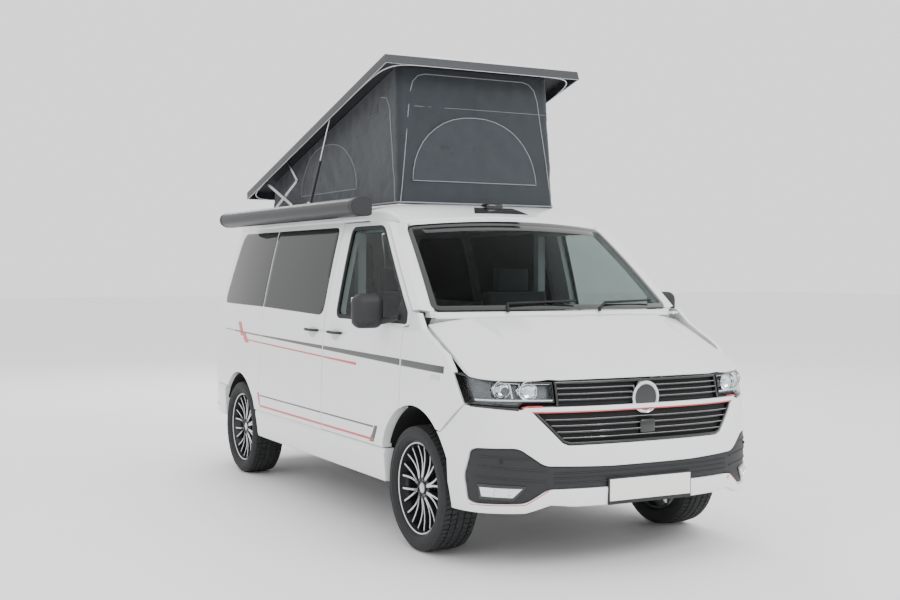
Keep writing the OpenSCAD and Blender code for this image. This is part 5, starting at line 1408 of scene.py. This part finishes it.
stripeParts = {"quarter": ("body", cSeam + 0.006, 1.62), "slider": ("body", bSeam + 0.006, cSeam - 0.006),
               "door": ("front_door", doorY + 0.006, bSeam - 0.010), "wing": ("body", -1.90, doorY - 0.012)}
for side, name in ((1, "left"), (-1, "right")):
    for word, (body, y0, y1) in stripeParts.items():
        if body != "body":
            body += "_" + name
        decal(name + word.title() + "Stripe", band(y0, y1, stripeMiddle, stripeHeight), "stripeBlack",
              body, side)
    decal(name + "QuarterRedLine", band(cSeam + 0.006, 1.36, redMiddle, lambda y: 0.009), "stripeRed",
          "body", side)
    decal(name + "SliderRedLine", band(bSeam + 0.006, cSeam - 0.006, redMiddle, lambda y: 0.010),
          "stripeRed", "body", side)
    decal(name + "DoorRedLine", band(-0.78, bSeam - 0.010, redMiddle, lambda y: 0.010 + 0.012 * (bSeam - y)),
          "stripeRed", "front_door_" + name, side)
    zigzag = [(1.52, 1.155), (1.44, 1.155), (1.36, 1.075), (1.31, 1.075), (1.22, 1.005), (1.31, 1.005),
              (1.37, 1.052), (1.43, 1.052)]
    decal(name + "Zigzag", zigzag, "stripeRed", "body", side)
    for k in range(5):
        y = 1.66 + 0.045 * k
        decal(name + "Dash" + str(k), band(y, y + 0.026, stripeMiddle, lambda y: 0.009), "stripeBlack",
              "body", side)
    # above the sill: a black and a red line between two slanted bars
    for word, (body, y0, y1) in {"Slider": ("body", bSeam + 0.006, cSeam - 0.006),
                                 "Door": ("front_door_" + name, -1.04, bSeam - 0.010)}.items():
        decal(name + word + "LowBlack", band(y0, y1, lambda y: 0.636, lambda y: 0.010), "stripeBlack",
              body, side)
        decal(name + word + "LowRed", band(y0, y1, lambda y: 0.560, lambda y: 0.014), "stripeRed", body, side)
    decal(name + "LowRedBar", [(cSeam + 0.012, 0.655), (cSeam + 0.052, 0.655), (cSeam + 0.020, 0.560),
                               (cSeam + 0.006, 0.560), (cSeam + 0.006, 0.640)], "stripeRed", "body", side)
    decal(name + "LowDarkBar", [(-1.06, 0.645), (-1.10, 0.645), (-1.04, 0.545), (-0.98, 0.545)],
          "stripeBlack", "front_door_" + name, side)
    badge = band(-1.865, -1.760, lambda y: 0.985, lambda y: 0.026)
    makePanel(name + "WingBadge", badge, [], waistCrease, 0.003, "chrome", "body", side=side,
              roll=0.001, step=0.02, lift=-0.003)
print("sides dressed")

# cap housing over the windscreen, and the header band
capPatch = [(-0.205, 0.050), (0.180, 0.050), (0.120, 0.155), (-0.145, 0.155)]
makePanel("capPatch", capPatch, [], capSkin, 0.002, "glossBlack", "body", roll=0.0008,
          step=0.02, lift=-0.0018)
capPlace = capSkin(-0.01, 0.15, 0.0)
softBox("capHousing", (-0.070, capPlace.y - 0.02, capPlace.z - 0.012),
        (0.048, capPlace.y + 0.075, capPlace.z + 0.030), 0.014, "glossBlack", "body",
        4)
header = [(-0.62, 0.600), (0.62, 0.600), (0.60, 0.560), (-0.60, 0.560)]
makePanel("screenHeader", header, [], screenSkin, 0.001, "glossBlack", "body",
          roll=0.0003, step=0.04, lift=-0.0009)

# wheel arch liners
liner = {"gap": 0.004, "thick": 0.003, "inner": 0.600, "outer": 0.898, "steps": 40}
for side in (-1, 1):
    for word, arch, low in (("front", frontArch, 18), ("rear", rearArch, 12)):
        r = arch["r"] - liner["gap"]
        over = np.linspace(low, 180 - low, liner["steps"])
        arcs = [(r, a) for a in over] + [(r - liner["thick"], a) for a in over[::-1]]
        arcs = [(arch["y"] + q * math.cos(math.radians(a)), arch["z"] + q * math.sin(math.radians(a)))
                for q, a in arcs]
        points = [(side * x, p, q) for x in (liner["inner"], liner["outer"]) for p, q in arcs]
        n = len(arcs)
        faces = [(k, (k + 1) % n, n + (k + 1) % n, n + k) for k in range(n)]
        faces += [(k, k + 1, n - 2 - k, n - 1 - k) for k in range(n // 2 - 1)]
        faces += [(n + n - 1 - k, n + n - 2 - k, n + k + 1, n + k) for k in range(n // 2 - 1)]
        addObject(word + "Liner" + str(side), points, faces, "innerBlack", "body")

# tailgate, rear lamps and rear bumper
gateEdge = [(-1, 0.650), (1, 0.650), (1, van["gutter"] + 0.008), (-1, van["gutter"] + 0.008)]
gateThick = 0.050
gateWindow = roundOff([(-0.87, 1.235), (0.87, 1.235), (0.83, 1.790), (-0.83, 1.790)], 0.06)


def gateSkin(p, z, d):
    groove = 0.006 * math.exp(-((z - 1.13) / 0.02) ** 2)
    return gatePoint(p, z, d + groove)


gate = makePanel("tailgatePanel", gateEdge, [gateWindow], gateSkin, gateThick, "whitePaint", "tailgate",
                 step=0.06)
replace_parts(gate, "tailgate")
pane = makePanel("tailgatePane", [(p * 1.03, z + (0.012 if z > 1.5 else -0.012)) for p, z in gateWindow],
                 [], gatePoint, 0.005, "darkGlass", "tailgate", roll=0.0015, step=0.06,
                 lift=-0.001)
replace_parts(pane, "tailgate_glass")
parts = ([], [])
for x in (-0.420, 0.420):
    softBox("", (x - 0.020, hingeLine[0] - 0.010, van["gutter"] + 0.002), (x + 0.020, hingeLine[0] + 0.010,
            hingeLine[1] + 0.010), 0.003, "", "", joinTo=parts)
addObject("tailgateHinges", parts[0], parts[1], "whitePaint", "tailgate")
handleY = rearAt(1.09)
softBox("tailgateHandle", (-0.26, handleY, 1.060), (0.26, handleY + 0.022, 1.100), 0.008,
        "bumperPlastic", "tailgate")
lampRear = [(lampFront(lamp["low"]) + 0.003, lamp["low"] + 0.003),
            (lampFront(lamp["high"]) + 0.003, lamp["high"] - 0.003),
            (rearEdge(lamp["high"]) - 0.012, lamp["high"] - 0.003),
            (rearEdge(lamp["low"]) - 0.012, lamp["low"] + 0.003)]
for side, name in ((1, "left"), (-1, "right")):
    o = makePanel(name + "TailLamp", roundOff(lampRear, 0.02), [], sidePoint, 0.040, "redLens", "body",
                  side=side, roll=0.006, step=0.02, lift=-0.004)
    if side == 1:
        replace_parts(o, "tail_lights")


def rearSkin(p, z, d):
    step = 0.008 * math.exp(-((z - 0.640) / 0.015) ** 2)
    return rearBumperPoint(p, z, d + step)


rear = makePanel("rearBumperSkin", [(-0.985, 0.400), (0.985, 0.400), (0.985, 0.638), (-0.985, 0.638)], [],
                 rearSkin, 0.044, "whitePaint", "body", roll=0.008, step=0.03)
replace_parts(rear, "rear_bumper")
for side, name in ((1, "left"), (-1, "right")):
    makePanel(name + "Reflector", [(0.70, 0.455), (0.84, 0.455), (0.84, 0.480), (0.70, 0.480)], [],
              rearBumperPoint, 0.004, "redLens", "body", side=side, roll=0.002, step=0.02,
              lift=-0.003)
print("rear done")


# seats and bench as padded forms
def cushion(name, low, high, material="seatCloth", lean=0.0, channels=3):
    # a stitched pad: domed faces, seams as sunk lines across it
    bm = bmesh.new()
    bmesh.ops.create_cube(bm, size=2)
    bmesh.ops.subdivide_edges(bm, edges=bm.edges[:], cuts=14, use_grid_fill=True)
    size, mid = (Vector(high) - Vector(low)) / 2, (Vector(high) + Vector(low)) / 2
    thin = min(range(3), key=lambda k: size[k])
    others = [k for k in range(3) if k != thin]
    for v in bm.verts:
        p = v.co
        q = Vector(p)
        r = 0.22
        for k in range(3):
            share = max(0, abs(p[k]) - (1 - r)) / r
            q[k] = math.copysign(min(abs(p[k]), 1 - r) + r * math.sin(min(1, share) * math.pi / 2) * 0.98,
                                 p[k])
        edge = (1 - abs(p[others[0]]) ** 4) * (1 - abs(p[others[1]]) ** 4)
        q[thin] *= 0.80 + 0.20 * edge
        seamLine = sum(math.exp(-((p[others[1]] - s) / 0.05) ** 2) for s in np.linspace(-0.5, 0.5, channels))
        q[thin] -= math.copysign(0.10 * seamLine * edge, p[thin])
        wrinkle = 0.02 * noise.noise(Vector(p) * 3.1 + Vector(mid) * 7)
        q[thin] += wrinkle
        v.co = Vector((q[k] * size[k] for k in range(3)))
    if lean:
        bmesh.ops.rotate(bm, verts=bm.verts, cent=(0, 0, -size.z), matrix=Matrix.Rotation(lean, 3, "X"))
    bmesh.ops.translate(bm, verts=bm.verts, vec=mid)
    bmesh.ops.recalc_face_normals(bm, faces=bm.faces)
    mesh = bpy.data.meshes.new(name)
    bm.to_mesh(mesh)
    bm.free()
    o = keepMesh(name, mesh, material, "body", sharp=180)
    return o


floorTop = 0.480
seatRow = {"x": (-0.430, 0.430), "y": van["axleF"] + 0.640, "half": 0.240, "headHalf": 0.120, "lean": -0.16}
first = None
for k, x in enumerate(seatRow["x"]):
    y, half, headHalf = seatRow["y"], seatRow["half"], seatRow["headHalf"]
    softBox("seatBase" + str(k), (x - 0.20, y + 0.05, floorTop), (x + 0.20, y + 0.43, floorTop + 0.245),
            0.02, "innerBlack", "body")
    seat = cushion("seatPad" + str(k), (x - half, y + 0.01, floorTop + 0.25),
                   (x + half, y + 0.49, floorTop + 0.385))
    cushion("seatBack" + str(k), (x - 0.23, y + 0.42, floorTop + 0.40), (x + 0.23, y + 0.53, floorTop + 0.93),
            lean=seatRow["lean"])
    cushion("headRest" + str(k), (x - headHalf, y + 0.560, floorTop + 0.935),
            (x + headHalf, y + 0.640, floorTop + 1.085), channels=1)
    first = first or seat
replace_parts(first, "front_seats")
benchRow = {"x": (-0.560, 0.235), "front": 1.000, "lean": -0.15}
leftX, rightX, front = *benchRow["x"], benchRow["front"]
bench = cushion("benchPad", (leftX, front, floorTop + 0.335), (rightX, 1.590, floorTop + 0.440))
softBox("benchBase", (leftX, front, floorTop), (rightX, 1.600, floorTop + 0.330), 0.012, "furniture",
        "body")
cushion("benchBack", (leftX, 1.490, floorTop + 0.450), (rightX, 1.610, floorTop + 1.000),
        lean=benchRow["lean"])
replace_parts(bench, "rear_bench")
print("seats done")


# awning: a rounded case with end caps
awning = {"x": halfWidthAt(van["gutter"]) + 0.062, "z": van["gutter"] + 0.025, "y": (-0.800, 1.780),
          "cap": 0.040}
case = roundOff([(0, 0.008), (0.024, -0.002), (0.092, 0.0), (0.132, 0.024), (0.142, 0.062), (0.128, 0.094),
                 (0.084, 0.112), (0.030, 0.114), (0, 0.098)], 0.014)


def awningPart(name, y0, y1, grow, material):
    middle = Vector((0.070, 0.056))
    rows = [(y0, -0.004), (y0 + 0.004, 0), (y1 - 0.004, 0), (y1, -0.004)]
    n, points, faces = len(case), [], []
    for y, more in rows:
        for p in case:
            q = Vector(p) + (Vector(p) - middle).normalized() * (grow + more)
            points.append((-(awning["x"] + q.x), y, awning["z"] + q.y))
    for r in range(3):
        faces += [(r * n + k, r * n + (k + 1) % n, (r + 1) * n + (k + 1) % n,
                   (r + 1) * n + k) for k in range(n)]
    faces += [tuple(range(n)), tuple(range(4 * n - 1, 3 * n - 1, -1))]
    return addObject(name, points, faces, material, "body", sharp=40)


y0, y1 = awning["y"]
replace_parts(awningPart("awningCase", y0 + awning["cap"], y1 - awning["cap"], 0, "awningCase"), "awning")
awningPart("awningCapFront", y0, y0 + awning["cap"] - 0.001, 0.0012, "bumperPlastic")
awningPart("awningCapRear", y1 - awning["cap"] + 0.001, y1, 0.0012, "bumperPlastic")

# dashboard with vents and a screen, and the kitchen with its doors and worktop
dash = {"half": van["halfWidth"] - 0.247, "y": van["axleF"]}
y = dash["y"]
profile = roundOff([(y + 0.020, 0.900), (y + 0.020, 1.172), (y + 0.110, 1.222), (y + 0.320, 1.250),
                    (y + 0.366, 1.200), (y + 0.330, 0.960), (y + 0.240, 0.880), (y + 0.060, 0.870)], 0.022)
n, xs, points, faces = len(profile), np.linspace(-dash["half"], dash["half"], 9), [], []
for x in xs:
    points += [(x, p, z) for p, z in profile]
for r in range(len(xs) - 1):
    faces += [(r * n + k, r * n + (k + 1) % n, (r + 1) * n + (k + 1) % n, (r + 1) * n + k) for k in range(n)]
faces += [tuple(range(n)), tuple(range(len(xs) * n - 1, (len(xs) - 1) * n - 1, -1))]
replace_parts(addObject("dashboardTop", points, faces, "dashPlastic", "body", sharp=40),
            "dashboard")
softBox("dashConsole", (-0.140, y + 0.060, floorTop), (0.140, y + 0.230, 0.880), 0.02, "dashPlastic", "body")
softBox("dashScreen", (-0.120, y + 0.340, 1.075), (0.120, y + 0.358, 1.190), 0.004, "glossBlack", "body")
for k, x in enumerate((-0.62, -0.19, 0.19, 0.62)):
    softBox("dashVent" + str(k), (x - 0.055, y + 0.346, 1.110), (x + 0.055, y + 0.362, 1.170), 0.006,
            "innerBlack", "body")
kitchen = {"x": (0.430, halfWidthAt(1.230) - 0.084), "y": (-0.149, 1.064), "z": (floorTop, 1.235)}
kx, ky, kz = kitchen["x"], kitchen["y"], kitchen["z"]
o = softBox("kitchenBody", (kx[0] + 0.010, ky[0] + 0.003, kz[0]), (kx[1], ky[1] - 0.003, kz[1] - 0.024),
            0.003, "furniture", "body")
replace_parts(o, "kitchen_unit")
softBox("kitchenTop", (kx[0], ky[0], kz[1] - 0.022), (kx[1], ky[1], kz[1]), 0.008, "worktop", "body")
for k in range(3):
    wide = (ky[1] - ky[0] - 0.02) / 3
    low = ky[0] + 0.012 + k * wide
    softBox("kitchenDoor" + str(k), (kx[0] + 0.001, low, kz[0] + 0.06),
            (kx[0] + 0.009, low + wide - 0.006, kz[1] - 0.034), 0.003, "furniture", "body")
    softBox("kitchenKnob" + str(k), (kx[0] - 0.012, low + wide - 0.09, 1.05),
            (kx[0] + 0.001, low + wide - 0.04, 1.07), 0.004, "chrome", "body")
print("inside done")

# floor, light and camera
studio = {"floor": 60.0, "world": 1.5, "key": 700.0, "fill": 150.0, "rim": 500.0}
floorMaterial = makeMaterial("floorPale", (0.90, 0.90, 0.90), rough=0.6, spread=0.005, grain=0.8)
floorMesh = bpy.data.meshes.new("studioFloor")
f = studio["floor"]
floorMesh.from_pydata([(-f, -f, 0), (f, -f, 0), (f, f, 0), (-f, f, 0)], [], [(0, 1, 2, 3)])
floorMesh.materials.append(floorMaterial)
floor = bpy.data.objects.new("studioFloor", floorMesh)
bpy.context.scene.collection.objects.link(floor)

world = bpy.data.worlds.new("studio")
world.use_nodes = True
world.node_tree.nodes["Background"].inputs["Color"].default_value = (1.0, 1.0, 1.0, 1)
world.node_tree.nodes["Background"].inputs["Strength"].default_value = studio["world"]
bpy.context.scene.world = world


def addLight(name, place, aim, power, size):
    light = bpy.data.lights.new(name, "AREA")
    light.energy = power
    light.shape = "RECTANGLE"
    light.size, light.size_y = size
    o = bpy.data.objects.new(name, light)
    o.location = place
    o.rotation_euler = (Vector(aim) - Vector(place)).to_track_quat("-Z", "Y").to_euler()
    bpy.context.scene.collection.objects.link(o)


addLight("keyLight", (2.5, -10, 8), (0, -1, 1), studio["key"], (7, 4))
addLight("fillLight", (-9, -3, 6), (0, 0, 1), studio["fill"], (6, 4))
addLight("rimLight", (2, 9, 7), (0, 1, 1.5), studio["rim"], (6, 3))
view = {"place": (-3.951, -7.601, 1.561), "yaw": 28.15, "pitch": -1.43, "roll": 0.17, "lens": 49.12}
cameraData = bpy.data.cameras.new("camera")
cameraData.lens = view["lens"]
cameraData.sensor_width = 36
cameraData.clip_end = 200
camera = bpy.data.objects.new("camera", cameraData)
turn = Matrix.Rotation(math.radians(-view["yaw"]), 4, "Z")
turn = turn @ Matrix.Rotation(math.radians(90 + view["pitch"]), 4, "X")
tip = Matrix.Rotation(math.radians(view["roll"]), 4, "Z")
camera.matrix_world = Matrix.Translation(view["place"]) @ turn @ tip
bpy.context.scene.collection.objects.link(camera)
bpy.context.scene.camera = camera

# the CAD pieces that stay as they are get their finishes here
carried = {"floor_pan": "underSteel", "cab_frame": "whitePaint", "roof_panel": "whitePaint",
           "engine_block": "underSteel", "front_axle": "underSteel", "rear_axle": "underSteel",
           "exhaust": "pipeSteel", "hinge_arms": "linkSteel", "brace_arms": "linkSteel",
           "brace_links": "linkSteel", "prop_tubes": "rimBlack", "prop_rods": "chrome",
           "knuckle_right": "underSteel", "knuckle_left": "underSteel",
           "wipers": "rubber", "steering_wheel": "dashPlastic"}
for n, finish in carried.items():
    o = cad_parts[n]
    o.data.materials.clear()
    o.data.materials.append(palette[finish])
